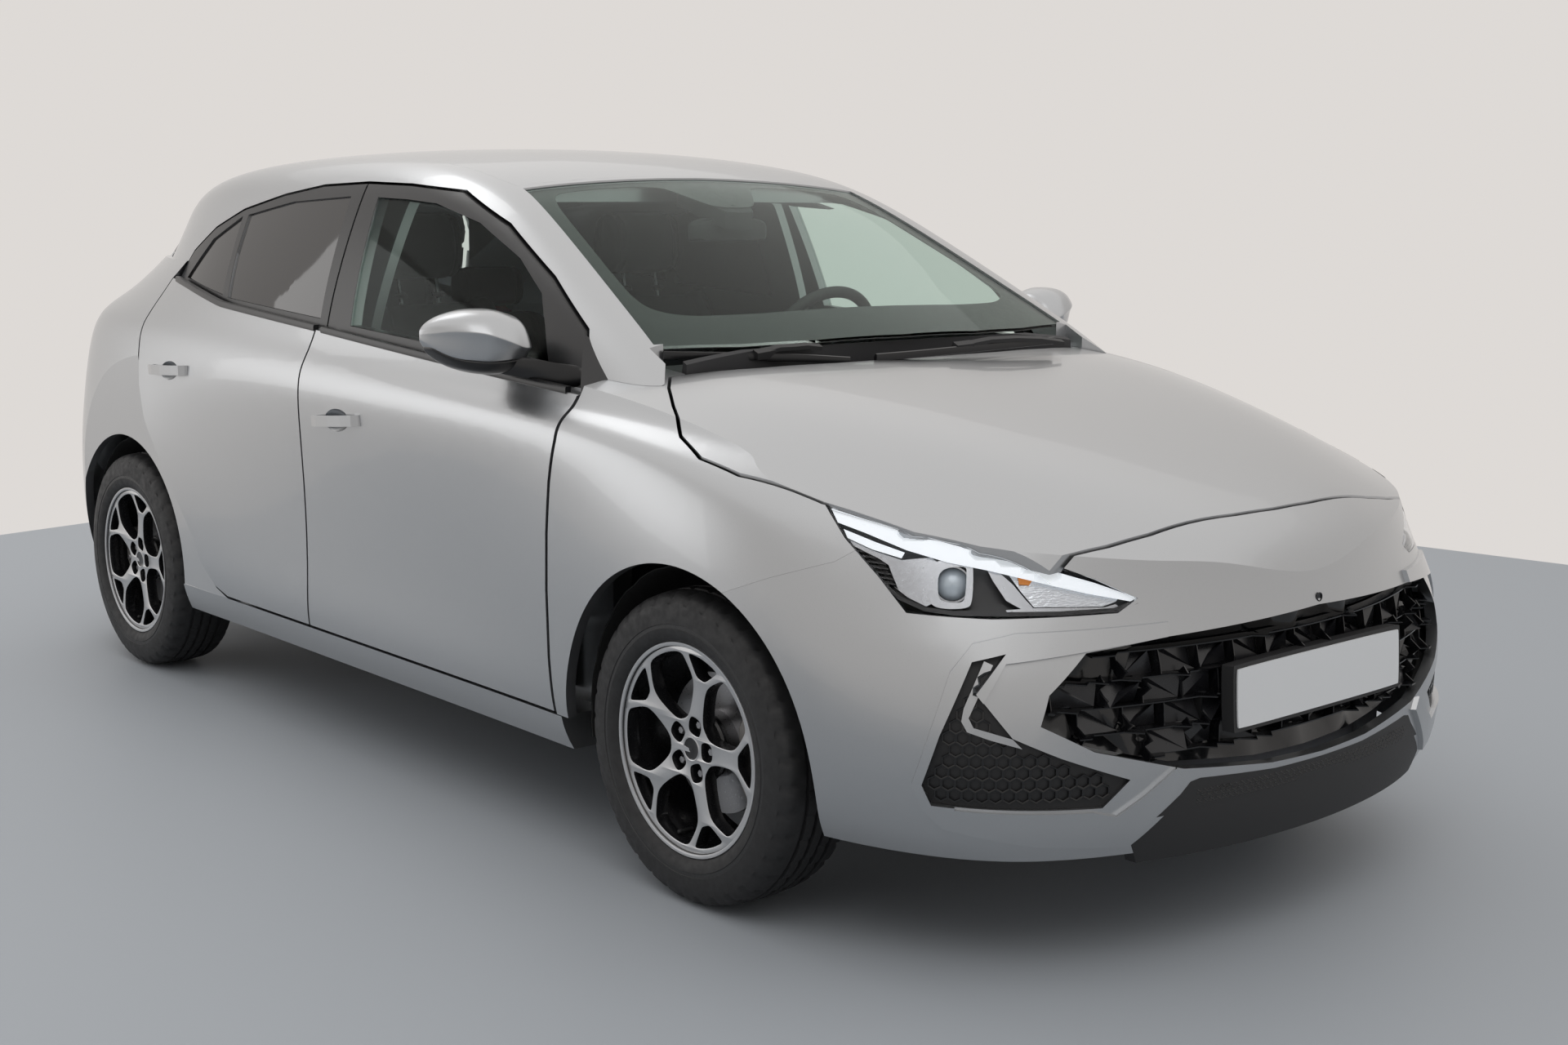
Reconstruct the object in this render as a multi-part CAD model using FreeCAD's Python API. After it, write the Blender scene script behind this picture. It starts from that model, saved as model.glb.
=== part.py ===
import FreeCAD, Part
import math
import os

from FreeCAD import Vector, Rotation, Placement

doc = FreeCAD.newDocument("hatchback")
sheet = doc.addObject("Spreadsheet::Sheet", "sizes")

# Driving sizes in millimetres and degrees: alias, value
SIZES = [
    ("front_end", 2056), ("rear_end", 2057), ("front_axle", 1203), ("wheelbase", 2570),
    ("body_width", 1797), ("roof_height", 1488), ("track_width", 1524),
    ("tyre_radius", 310), ("tyre_width", 195), ("tyre_sidewall", 100), ("rim_depth", 178),
    ("arch_radius", 366), ("arch_liner_radius", 392), ("arch_liner_depth", 330),
    ("panel_gap", 7), ("skin", 24), ("hem", 9), ("hem_inset", 12), ("glass_sheet", 5), ("glass_step", 4),
    ("door_inner_half", 764), ("frame_depth", 30), ("pillar_gap", 40), ("pillar_depth", 96),
    ("sill_top", 300), ("floor_level", 235), ("floor_sheet", 30), ("cabin_half_width", 700),
    ("seat_width", 480), ("seat_depth", 500), ("seat_clearance", 0.3), ("blade_height", 9),
    ("wheel_rim_radius", 185), ("wheel_grip", 15), ("disc_radius", 140), ("disc_sheet", 22),
    ("hub_radius", 62), ("spindle_radius", 20), ("hinge_eye", 8), ("hinge_pin", 4), ("ball_radius", 12),
]
for row, (alias, value) in enumerate(SIZES, start=1):
    sheet.set("A%d" % row, alias)
    sheet.set("B%d" % row, str(value))
    sheet.setAlias("B%d" % row, alias)
doc.recompute()
size = {alias: float(sheet.get(alias)) for alias, value in SIZES}

REF_FRONT, REF_REAR, REF_FRONT_AXLE, REF_REAR_AXLE = 2056.0, -2057.0, 1203.0, -1367.0
REF_WIDTH, REF_ROOF, REF_WAIST = 1797.0, 1488.0, 620.0
front_axle = size["front_axle"]
rear_axle = front_axle - size["wheelbase"]


def bx(x):
    """Station on the reference body, carried to this body's overhangs and wheelbase."""
    if x >= REF_FRONT_AXLE:
        return front_axle + (x - REF_FRONT_AXLE)*(size["front_end"] - front_axle)/(REF_FRONT - REF_FRONT_AXLE)
    if x <= REF_REAR_AXLE:
        return rear_axle + (x - REF_REAR_AXLE)*(size["rear_end"] + rear_axle)/(REF_REAR_AXLE - REF_REAR)
    return rear_axle + (x - REF_REAR_AXLE)*size["wheelbase"]/(REF_FRONT_AXLE - REF_REAR_AXLE)


def by(y):
    """Half width on the reference body, carried to this body's width."""
    return y*size["body_width"]/REF_WIDTH


def bz(z):
    """Height on the reference body: what is above the waist follows the roof."""
    if z <= REF_WAIST:
        return z
    return REF_WAIST + (z - REF_WAIST)*(size["roof_height"] - REF_WAIST)/(REF_ROOF - REF_WAIST)


def at(x, y, z):
    return Vector(bx(x), by(y), bz(z))


# Lower wrap, side stations. Columns: x, crease height, belt height, then half widths at
# base, sill, rocker, low, waist, mid, crease, above, belt, cap
WRAP_SIDE = [
    (-1750, 985, 1110, 735, 800, 830, 848, 850, 835, 800, 735, 590, 420),
    (-1560, 975, 1110, 770, 835, 862, 880, 885, 868, 835, 782, 680, 500),
    (-1367, 965, 1105, 785, 850, 878, 896, 900, 884, 852, 808, 735, 580),
    (-1150, 950, 1090, 790, 845, 872, 886, 890, 880, 862, 828, 775, 650),
    (-850, 930, 1066, 790, 838, 868, 868, 870, 872, 870, 842, 800, 700),
    (-450, 912, 1040, 790, 838, 868, 860, 860, 868, 876, 852, 812, 720),
    (0, 902, 1016, 790, 838, 868, 858, 858, 868, 880, 856, 815, 725),
    (400, 898, 990, 790, 838, 868, 858, 860, 870, 880, 856, 810, 720),
    (750, 895, 968, 790, 840, 868, 866, 870, 874, 876, 848, 795, 700),
    (980, 885, 950, 790, 846, 872, 882, 886, 880, 864, 830, 770, 670),
    (1203, 865, 920, 785, 850, 876, 890, 894, 880, 846, 805, 735, 620),
    (1420, 835, 890, 770, 842, 866, 880, 882, 860, 815, 765, 690, 560),
]
WRAP_SIDE_LEVELS = (150, 225, 300, 430, 600, 760)
# Lower wrap, nose stations from the side to the centre: (x, y) at each of ten heights
WRAP_NOSE_LEVELS = (150, 225, 290, 400, 540, 640, 760, 850, 950, 1300)
WRAP_NOSE = [
    [(1600, 745), (1600, 815), (1600, 840), (1605, 852), (1605, 846),
     (1600, 815), (1600, 765), (1600, 700), (1600, 620), (1600, 520)],
    [(1760, 690), (1770, 750), (1775, 775), (1780, 790), (1780, 775),
     (1760, 735), (1730, 690), (1720, 640), (1720, 560), (1720, 480)],
    [(1880, 600), (1900, 650), (1905, 670), (1905, 680), (1895, 660),
     (1860, 620), (1830, 580), (1820, 540), (1820, 480), (1820, 420)],
    [(1965, 430), (1990, 460), (1995, 470), (1995, 480), (1985, 470),
     (1945, 450), (1920, 430), (1920, 400), (1920, 380), (1920, 350)],
    [(2015, 230), (2040, 240), (2045, 240), (2045, 240), (2040, 235),
     (2010, 230), (1985, 230), (1985, 230), (1985, 230), (1985, 230)],
    [(2028, 80), (2052, 80), (2056, 80), (2056, 80), (2052, 80),
     (2025, 80), (2000, 80), (2000, 80), (2000, 80), (2000, 80)],
    [(2028, 0), (2052, 0), (2056, 0), (2056, 0), (2052, 0),
     (2025, 0), (2000, 0), (2000, 0), (2000, 0), (2000, 0)],
]
# Lower wrap, tail stations from the centre to the side
WRAP_TAIL_LEVELS = (150, 225, 300, 430, 600, 760, 960, 1040, 1110, 1300)
WRAP_TAIL = [
    [(-1990, 0), (-2030, 0), (-2045, 0), (-2056, 0), (-2056, 0),
     (-2040, 0), (-2015, 0), (-1985, 0), (-1950, 0), (-1880, 0)],
    [(-1990, 100), (-2030, 100), (-2045, 100), (-2056, 100), (-2056, 100),
     (-2040, 100), (-2015, 100), (-1985, 100), (-1950, 100), (-1880, 100)],
    [(-1980, 300), (-2020, 300), (-2035, 300), (-2047, 300), (-2047, 300),
     (-2030, 300), (-2005, 300), (-1975, 300), (-1940, 290), (-1870, 270)],
    [(-1940, 530), (-1985, 560), (-2000, 570), (-2012, 580), (-2010, 580),
     (-1995, 570), (-1970, 550), (-1930, 500), (-1880, 440), (-1800, 330)],
    [(-1870, 660), (-1915, 710), (-1930, 730), (-1940, 740), (-1938, 735),
     (-1925, 720), (-1900, 690), (-1860, 620), (-1810, 520), (-1740, 380)],
]
# Bonnet and nose face: x station, heights at the half widths of TOP_Y
TOP_Y = (0, 120, 260, 400, 520, 640, 760, 900)
TOP = [
    (600, (1030, 1030, 1030, 1030, 1030, 1025, 1010, 985)),
    (850, (1022, 1022, 1021, 1018, 1012, 1002, 985, 955)),
    (1050, (1003, 1003, 1002, 999, 992, 978, 955, 920)),
    (1250, (975, 975, 974, 971, 962, 940, 905, 860)),
    (1450, (938, 938, 937, 933, 918, 885, 840, 790)),
    (1620, (898, 898, 896, 890, 866, 826, 780, 730)),
    (1760, (856, 856, 853, 840, 806, 768, 728, 680)),
    (1870, (815, 815, 810, 785, 752, 715, 680, 630)),
    (1950, (772, 771, 762, 725, 690, 655, 620, 570)),
    (2005, (715, 713, 700, 655, 620, 590, 560, 520)),
    (2040, (635, 632, 620, 590, 560, 530, 500, 460)),
    (2062, (500, 500, 500, 480, 450, 420, 390, 360)),
]
# Greenhouse: x station, then (half width, height) at foot, belt, glass middle, glass top,
# rail outside, rail top, roof edge, roof middle, centre
HOUSE = [
    (-1960, [(560, 900), (530, 1000), (495, 1060), (440, 1150), (415, 1195),
             (390, 1240), (350, 1275), (220, 1295), (0, 1302)]),
    (-1720, [(650, 900), (612, 1030), (572, 1090), (505, 1190), (478, 1240),
             (450, 1290), (405, 1325), (250, 1346), (0, 1354)]),
    (-1520, [(715, 900), (690, 1060), (650, 1140), (590, 1258), (570, 1305),
             (540, 1342), (490, 1370), (290, 1394), (0, 1402)]),
    (-1260, [(765, 900), (745, 1070), (702, 1190), (648, 1312), (630, 1354),
             (598, 1390), (540, 1416), (300, 1440), (0, 1448)]),
    (-950, [(800, 900), (785, 1050), (730, 1205), (668, 1345), (648, 1386),
            (616, 1422), (550, 1446), (300, 1470), (0, 1478)]),
    (-550, [(805, 900), (798, 1025), (742, 1200), (675, 1365), (652, 1404),
            (618, 1436), (550, 1458), (300, 1480), (0, 1488)]),
    (-150, [(805, 900), (800, 1000), (745, 1190), (672, 1360), (648, 1400),
            (612, 1430), (545, 1450), (300, 1472), (0, 1480)]),
    (150, [(800, 880), (797, 980), (750, 1150), (672, 1306), (646, 1346),
           (608, 1380), (540, 1400), (300, 1421), (0, 1429)]),
    (420, [(800, 860), (792, 960), (755, 1080), (700, 1190), (672, 1230),
           (636, 1258), (560, 1274), (300, 1295), (0, 1304)]),
    (680, [(790, 840), (785, 930), (765, 1000), (735, 1070), (712, 1098),
           (676, 1122), (600, 1140), (300, 1167), (0, 1178)]),
    (900, [(780, 800), (770, 880), (755, 930), (735, 975), (715, 996),
           (690, 1012), (610, 1032), (300, 1062), (0, 1074)]),
    (1050, [(770, 760), (760, 820), (745, 860), (725, 890), (708, 904),
            (680, 920), (600, 945), (300, 980), (0, 993)]),
]
# Tailgate face: height, x at the half widths of BACK_Y
BACK_Y = (0, 120, 300, 480, 620, 740, 860)
BACK = [
    (60, (-2150, -2150, -2145, -2130, -2100, -2050, -1980)),
    (350, (-2120, -2120, -2112, -2095, -2060, -2000, -1900)),
    (600, (-2010, -2010, -2002, -1985, -1950, -1880, -1760)),
    (800, (-2005, -2005, -1997, -1978, -1940, -1865, -1740)),
    (950, (-2000, -2000, -1990, -1965, -1920, -1840, -1700)),
    (1040, (-1975, -1975, -1965, -1936, -1885, -1795, -1640)),
    (1140, (-1925, -1925, -1914, -1882, -1825, -1725, -1560)),
    (1250, (-1865, -1865, -1853, -1818, -1755, -1650, -1480)),
    (1350, (-1810, -1810, -1797, -1760, -1690, -1580, -1400)),
    (1500, (-1730, -1730, -1716, -1676, -1600, -1480, -1300)),
]


def wrap_net():
    """Half wrap, left side, from the rear centre round to the front centre."""
    rows = [[at(x, y, z) for (x, y), z in zip(row, WRAP_TAIL_LEVELS)] for row in WRAP_TAIL]
    for x, crease, belt, *halves in WRAP_SIDE:
        levels = WRAP_SIDE_LEVELS + (crease, crease + 0.45*(belt - crease), belt, 1300)
        rows.append([at(x, y, z) for y, z in zip(halves, levels)])
    rows += [[at(x, y, z) for (x, y), z in zip(row, WRAP_NOSE_LEVELS)] for row in WRAP_NOSE]
    return rows


def mirrored_row(row):
    return [Vector(p.x, -p.y, p.z) for p in reversed(row[1:])] + row


def top_net():
    return [mirrored_row([at(x, y, z) for y, z in zip(TOP_Y, zs)]) for x, zs in TOP]


def house_net():
    return [mirrored_row([at(x, y, z) for y, z in reversed(row)]) for x, row in HOUSE]


def back_net():
    return [mirrored_row([at(x, y, z) for y, x in zip(BACK_Y, xs)]) for z, xs in BACK]


DEGREE = 3


def clamped(count):
    """Knots and multiplicities of a clamped uniform cubic with count poles."""
    spans = count - DEGREE
    knots = [i/spans for i in range(spans + 1)]
    return knots, [DEGREE + 1] + [1]*(spans - 1) + [DEGREE + 1]


def spline(net):
    u_knots, u_mults = clamped(len(net))
    v_knots, v_mults = clamped(len(net[0]))
    surface = Part.BSplineSurface()
    surface.buildFromPolesMultsKnots(net, u_mults, v_mults, u_knots, v_knots, False, False, DEGREE, DEGREE)
    return surface


def greville(count):
    knots, mults = clamped(count)
    full = [k for k, m in zip(knots, mults) for _ in range(m)]
    return [sum(full[i + 1:i + 1 + DEGREE])/DEGREE for i in range(count)]


def inset(net, depth, inward):
    """The same net moved along its own normals by depth, towards the point inward(p)."""
    surface = spline(net)
    rows = []
    for u, row in zip(greville(len(net)), net):
        out = []
        for v, pole in zip(greville(len(row)), row):
            normal = surface.normal(min(max(u, 1e-4), 1 - 1e-4), min(max(v, 1e-4), 1 - 1e-4))
            if normal.dot(inward(pole)) < 0:
                normal = -normal
            out.append(pole + normal*depth)
        rows.append(out)
    return rows


def prism(points, low, high, plane="xz"):
    """Solid between low and high along the normal of an outline given in plane."""
    place = {"xz": lambda a, b, h: Vector(a, h, b), "xy": lambda a, b, h: Vector(a, b, h),
             "yz": lambda a, b, h: Vector(h, a, b)}[plane]
    wire = Part.makePolygon([place(a, b, low) for a, b in points + points[:1]])
    return Part.Face(wire).extrude(place(0, 0, high - low))


def side_outline(points):
    return [(bx(x), bz(z)) for x, z in points]


def plan_outline(points):
    return [(bx(x), by(y)) for x, y in points]


def end_outline(points):
    return [(by(y), bz(z)) for y, z in points]


def grown(points, distance):
    """Outline moved outwards by distance, or inwards where it is negative."""
    count = len(points)
    area = sum(points[i][0]*points[(i + 1) % count][1] - points[(i + 1) % count][0]*points[i][1]
               for i in range(count))
    turn = 1 if area > 0 else -1
    out = []
    for i, (x, y) in enumerate(points):
        before, after = points[i - 1], points[(i + 1) % count]
        first = Vector(x - before[0], y - before[1], 0).normalize()
        second = Vector(after[0] - x, after[1] - y, 0).normalize()
        one = Vector(first.y, -first.x, 0)*turn
        two = Vector(second.y, -second.x, 0)*turn
        middle = one + two
        scale = 2*distance/max(middle.dot(middle), 0.5)
        out.append((x + middle.x*scale, y + middle.y*scale))
    return out


def box(low, high):
    return Part.makeBox(high[0] - low[0], high[1] - low[1], high[2] - low[2], Vector(*low))


def rod(start, end, radius):
    along = end - start
    return Part.makeCylinder(radius, along.Length, start, along)


def fuse(shapes):
    shapes = list(shapes)
    joined = shapes[0].multiFuse(shapes[1:]) if len(shapes) > 1 else shapes[0]
    return joined.removeSplitter()


def mirror(shape):
    return shape.mirror(Vector(0, 0, 0), Vector(0, 1, 0))


def both(shape):
    return Part.makeCompound([shape, mirror(shape)])


def under(net, drop):
    return spline(net).toShape().extrude(Vector(0, 0, -drop))


def ahead(net, reach):
    return spline(net).toShape().extrude(Vector(reach, 0, 0))


def wrap_solid(net):
    """Solid inside the half wrap, closed by flat caps and by the centre plane."""
    face = spline(net).toShape()

    def lies_at(edge, height):
        span = edge.LastParameter - edge.FirstParameter
        return all(abs(edge.valueAt(edge.FirstParameter + part*span).z - height) < 1e-4 for part in (0, 0.37, 1))

    caps = []
    for height in (net[0][0].z, net[0][-1].z):
        edge = [e for e in face.Edges if lies_at(e, height)][0]
        first, last = edge.Vertexes[0].Point, edge.Vertexes[-1].Point
        caps.append(Part.Face(Part.Wire([edge, Part.makeLine(last, first)])))
    ends = [e for e in face.Edges if not any(lies_at(e, z) for z in (net[0][0].z, net[0][-1].z))]
    ends += [e for c in caps for e in c.Edges if e.Curve.TypeId == "Part::GeomLine"]
    middle = Part.Face(Part.Wire(Part.__sortEdges__(ends)))
    shell = Part.makeShell([face, middle] + caps)
    shell.sewShape()
    return Part.makeSolid(shell)


def flat_inset(net, depth):
    """Wrap net inset by depth, with its lowest and highest rows kept flat and on the centre plane."""
    rows = inset(net, depth, lambda p: Vector(-0.3*p.x if abs(p.x) > 1500 else 0, -p.y, 0))
    for new, old in zip(rows, net):
        for j, (p, q) in enumerate(zip(new, old)):
            p.z = q.z
    for row in (rows[0], rows[-1]):
        for p in row:
            p.y = 0
    for edge_row, next_row in ((rows[0], rows[1]), (rows[-1], rows[-2])):
        for p, q in zip(edge_row, next_row):
            p.x = q.x
    return rows


# Outer and inner body volumes; everything that has the outer skin is cut from them
DROP = 1500
SEAM = 0.3
skin = size["skin"]
frame_depth = size["frame_depth"]
gap = size["panel_gap"]
DOWN = lambda p: Vector(0, 0, -1)
INSIDE = lambda p: Vector(0, -p.y*0.4, -400)
FORWARD = lambda p: Vector(1, 0, 0)

wrap = wrap_solid(wrap_net())
wrap_in = wrap_solid(flat_inset(wrap_net(), skin))
bonnet_under = under(top_net(), DROP)
bonnet_under_in = under(inset(top_net(), skin, DOWN), DROP)
house = under(house_net(), DROP)
house_in = under(inset(house_net(), frame_depth, INSIDE), DROP)
back = ahead(back_net(), 4200)
back_in = ahead(inset(back_net(), skin + 6, FORWARD), 4200)
HALF = box((-3000, 0, -100), (3000, 1200, 2000))

nose_half = wrap.common(bonnet_under).common(box((bx(640), -1, 0), (3000, 1200, 2000)))
nose_half_in = wrap_in.common(bonnet_under_in)
nose_shell = nose_half.cut(nose_half_in)
tail_half = wrap.common(back).common(box((-3000, -1, 0), (bx(640), 1200, bz(1180))))
tail_half_in = wrap_in.common(back_in)
tail_shell = tail_half.cut(tail_half_in)
house_half = house.common(back).common(HALF)
house_shell = house_half.cut(house_in.common(back_in))
# Thin outer layers: a moving panel's edge is only this deep, and the rest stands back from the gap
hem = size["hem"]
bonnet_under_hem = under(inset(top_net(), hem, DOWN), DROP)
house_hem = under(inset(house_net(), hem, INSIDE), DROP)
back_hem = ahead(inset(back_net(), hem, FORWARD), 4200)
wrap_hem = wrap_solid(flat_inset(wrap_net(), hem))

# Outlines of the panels on the reference body
FRONT_DOOR = [(-278, 305), (786, 305), (775, 420), (773, 560), (779, 680), (790, 786), (804, 870), (804, 958),
              (703, 1079), (527, 1181), (306, 1290), (102, 1363), (-100, 1378), (-284, 1383), (-276, 1031),
              (-272, 900), (-276, 600)]
REAR_DOOR = [(-285, 305), (-283, 600), (-279, 900), (-283, 1031), (-291, 1383), (-500, 1376), (-700, 1352),
             (-923, 1312), (-1080, 1262), (-1200, 1196), (-1262, 1118), (-1266, 1050), (-1262, 1000),
             (-1240, 930), (-1216, 830), (-1174, 740), (-1047, 600), (-921, 456), (-868, 374), (-800, 324),
             (-735, 305)]
FRONT_WINDOW = [(-170, 1046), (640, 1000), (585, 1083), (531, 1150), (409, 1222), (224, 1296), (39, 1338),
                (-84, 1347), (-214, 1351)]
REAR_WINDOW = [(-320, 1056), (-857, 1084), (-877, 1200), (-882, 1302), (-638, 1338), (-343, 1353)]
QUARTER_WINDOW = [(-894, 1090), (-1031, 1106), (-1190, 1126), (-1073, 1234), (-917, 1298)]
BONNET = [(985, 0), (976, 250), (948, 440), (905, 600), (900, 640), (960, 690), (1045, 745), (1130, 793),
          (1215, 815), (1320, 808), (1500, 764), (1550, 745), (1670, 703), (1768, 640), (1856, 558),
          (1885, 440), (1900, 345), (1917, 120), (1920, 0)]
FENDER = [(796, 300), (785, 420), (783, 560), (789, 680), (800, 786), (814, 870), (814, 1090), (1000, 1100),
          (1525, 900), (1660, 800), (1565, 725), (1452, 685), (1343, 642), (1300, 600), (1300, 300)]
LAMP = [(520, 822), (568, 814), (684, 785), (798, 765), (918, 735), (998, 706), (1075, 670), (1039, 648),
        (819, 645), (672, 650), (621, 707), (562, 764)]
GRILLE = [(0, 618), (170, 611), (385, 602), (537, 586), (612, 520), (631, 468), (545, 418), (368, 368),
          (150, 346), (0, 342)]
INTAKE = [(843, 591), (785, 578), (732, 453), (703, 363), (720, 327), (1017, 316), (1066, 362), (942, 411),
          (857, 449), (793, 525)]
WING = [(1130, 628), (982, 625), (860, 623), (786, 607), (748, 560), (714, 453), (686, 363), (702, 316),
        (760, 316), (760, 400), (800, 500), (843, 575), (982, 590), (1130, 604)]
BLADE = [(704, 318), (740, 284), (900, 254), (1066, 239), (1166, 350), (1150, 374), (1094, 332), (1042, 300),
         (1000, 312), (740, 322)]
VALANCE = [(0, 322), (340, 326), (367, 318), (463, 239), (430, 180), (0, 180)]
TAILGATE = [(0, 656), (470, 663), (520, 700), (560, 800), (575, 900), (575, 1000), (548, 1100), (508, 1200),
            (470, 1290), (440, 1400), (0, 1500)]
REAR_GLASS = [(0, 1075), (500, 1085), (470, 1180), (430, 1270), (0, 1285)]
TAIL_LAMP = [(-2100, 1010), (-1800, 985), (-1770, 930), (-1880, 880), (-2100, 880)]
REAR_BUMPER = [(-2100, 648), (-1960, 648), (-1845, 800), (-1700, 640), (-1655, 560), (-1655, 200), (-2100, 200)]

FAR_LEFT = 1100
DIAGONAL = math.sqrt(0.5)


def side_prism(points, inner=0, grow=0):
    return prism(grown(side_outline(points), grow), inner, FAR_LEFT)


def plan_prism(points, low, high, grow=0):
    """Vertical prism over a half outline and its mirror image."""
    half = plan_outline(points)
    whole = half + [(x, -y) for x, y in reversed(half) if y > 0]
    return prism(grown(whole, grow), low, high, "xy")


def end_prism(points, low, high, grow=0):
    half = end_outline(points)
    whole = half + [(-y, z) for y, z in reversed(half) if y > 0]
    return prism(grown(whole, grow), low, high, "yz")


def corner_prism(points, low, grow=0):
    """Prism along the diagonal between ahead and left, from the distance low outwards."""
    shift = DIAGONAL*(size["front_end"] - REF_FRONT)

    def place(across, up, along):
        return Vector(DIAGONAL*(across + along), DIAGONAL*(along - across), up)

    outline = grown([(a + shift, bz(b)) for a, b in points], grow)
    wire = Part.makePolygon([place(a, b, low) for a, b in outline + outline[:1]])
    return Part.Face(wire).extrude(place(0, 0, 2400 - low))


def wheel_well(x, radius, inner, outer=1200):
    return Part.makeCylinder(radius, outer - inner, Vector(x, inner, size["tyre_radius"]), Vector(0, 1, 0))


def add(name, shape):
    feature = doc.addObject("Part::Feature", name)
    feature.Shape = shape
    feature.Label = name
    nodes.append(feature)
    return feature


def add_pair(name, shape):
    """The left piece as given and the right one as its mirror image."""
    add(name + "_left", shape)
    add(name + "_right", mirror(shape))


nodes = []
door_in = by(size["door_inner_half"])
front_wells = wheel_well(front_axle, size["arch_radius"], 300)
front_liner = wheel_well(front_axle, size["arch_liner_radius"], 300)
rear_wells = wheel_well(rear_axle, size["arch_radius"], 300)


def hinge_leaf(x, y, height):
    """Fixed arm from the pillar's outer face to an eye with a vertical bore."""
    arm = box((x - 6, by(740), height - 5), (x + 6, y, height + 5))
    eye = Part.makeCylinder(size["hinge_eye"], 16, Vector(x, y, height - 8))
    bore = Part.makeCylinder(size["hinge_pin"] + SEAM, 40, Vector(x, y, height - 20))
    return arm.fuse(eye).cut(bore)


def hinge_pocket(x, y, height):
    """Room in the door's skin for the arm and its eye."""
    return box((x - 12, 0, height - 14), (x + 110, y + size["hinge_eye"] + 1.5, height + 14))


def hinge_pin(x, y, height):
    return Part.makeCylinder(size["hinge_pin"], 44, Vector(x, y, height - 22))


def handle(x, z, tilt):
    """Hollow in the door's skin and the bow over it, for a handle centred on station x and height z."""
    hit = Part.Vertex(Vector(bx(x), 1200, bz(z))).distToShape(wrap)[1][0][1].y
    hollow = Part.makeSphere(22, Vector(0, 0, 0)).transformGeometry(
        FreeCAD.Matrix(2.9, 0, 0, 0, 0, 1, 0, 0, 0, 0, 1.35, 0))
    arc = [(-115, -8), (-112, 4), (-96, 15), (-60, 22), (0, 25), (60, 22), (96, 15), (112, 4), (115, -8),
           (98, -8), (90, 4), (60, 12), (0, 15), (-60, 12), (-90, 4), (-98, -8)]
    bow = prism(arc, -13, 13, "xy")
    for shape, out in ((hollow, 8), (bow, 0)):
        shape.rotate(Vector(0, 0, 0), Vector(0, 1, 0), -tilt)
        shape.translate(Vector(bx(x), hit + out, bz(z)))
    return hollow, bow


# Door hinges: axis station, axis half width, heights of the two leaves
FRONT_HINGE = (bx(725), by(853), (470, bz(800)))
REAR_HINGE = (bx(-352), by(846), (560, bz(800)))


def doors():
    wrap_layer = wrap.cut(wrap_in).common(box((-3000, 0, 0), (3000, 1200, bz(1180))))
    wrap_block = wrap.common(box((-3000, 0, 0), (3000, 1200, bz(1180))))
    for name, outline, panes, (hinge_x, hinge_y, heights), grip in (
            ("front", FRONT_DOOR, [FRONT_WINDOW], FRONT_HINGE, (-87, 832, 5)),
            ("rear", REAR_DOOR, [REAR_WINDOW, QUARTER_WINDOW], REAR_HINGE, (-1025, 886, 3))):
        low_zone = side_prism(BELT_BELOW)
        behind_hinge = box((-3000, 0, 0), (hinge_x - 15, 1200, 2000))
        outer = wrap_layer.common(low_zone).common(side_prism(outline, by(600)))
        inner = wrap_block.common(low_zone).common(side_prism(outline, door_in, -14)).common(behind_hinge)
        frame = house_half.cut(house_hem).common(side_prism(outline, by(560)))
        deep_frame = house_shell.common(side_prism(outline, by(560), -8)).common(box((-3000, 0, 0), (bx(655), 1200, 2000)))
        frame = frame.fuse(deep_frame).cut(side_prism(BELT_UNDER))
        for pane in panes:
            frame = frame.cut(side_prism(pane, 0))
        hollow, bow = handle(*grip)
        door = fuse([fuse([outer, inner, frame]).cut(hollow), bow])
        for height in heights:
            door = door.cut(hinge_pocket(hinge_x, hinge_y, height)).fuse(hinge_pin(hinge_x, hinge_y, height))
        add_pair("door_%s" % name, door)
        glass = side_glass.common(fuse([side_prism(pane, by(560), -SEAM) for pane in panes]))
        add_pair("glass_%s" % name, glass)


def house_sheet(outer, inner):
    """Sheet of the greenhouse between two depths below its surface."""
    return under(inset(house_net(), outer, INSIDE), DROP).cut(under(inset(house_net(), inner, INSIDE), DROP))


BELT_BELOW = [(-1400, 1128), (-1250, 1121), (-1107, 1104), (-841, 1066), (-261, 1031), (804, 960), (1000, 950),
              (1000, 0), (-1400, 0)]
BELT_UNDER = [(-1400, 1088), (-1250, 1081), (-1107, 1064), (-841, 1026), (-261, 991), (804, 920), (1000, 910),
              (1000, 0), (-1400, 0)]
side_glass = house_sheet(size["glass_step"], size["glass_step"] + size["glass_sheet"]).common(HALF)

doors()


# Bonnet hinge: station, height, half width of the arms
BONNET_HINGE = (bx(930), bz(981), by(580))


def bonnet_hinge_arm(side):
    x, z, y = BONNET_HINGE
    y *= side
    foot = box((bx(880), y - 5, bz(930)), (x + 10, y + 5, bz(948)))
    post = box((x - 6, y - 5, bz(945)), (x + 6, y + 5, z))
    eye = Part.makeCylinder(size["hinge_eye"], 16, Vector(x, y - 8, z), Vector(0, 1, 0))
    bore = Part.makeCylinder(size["hinge_pin"] + SEAM, 40, Vector(x, y - 20, z), Vector(0, 1, 0))
    return foot.fuse(post).fuse(eye).cut(bore)


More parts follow.
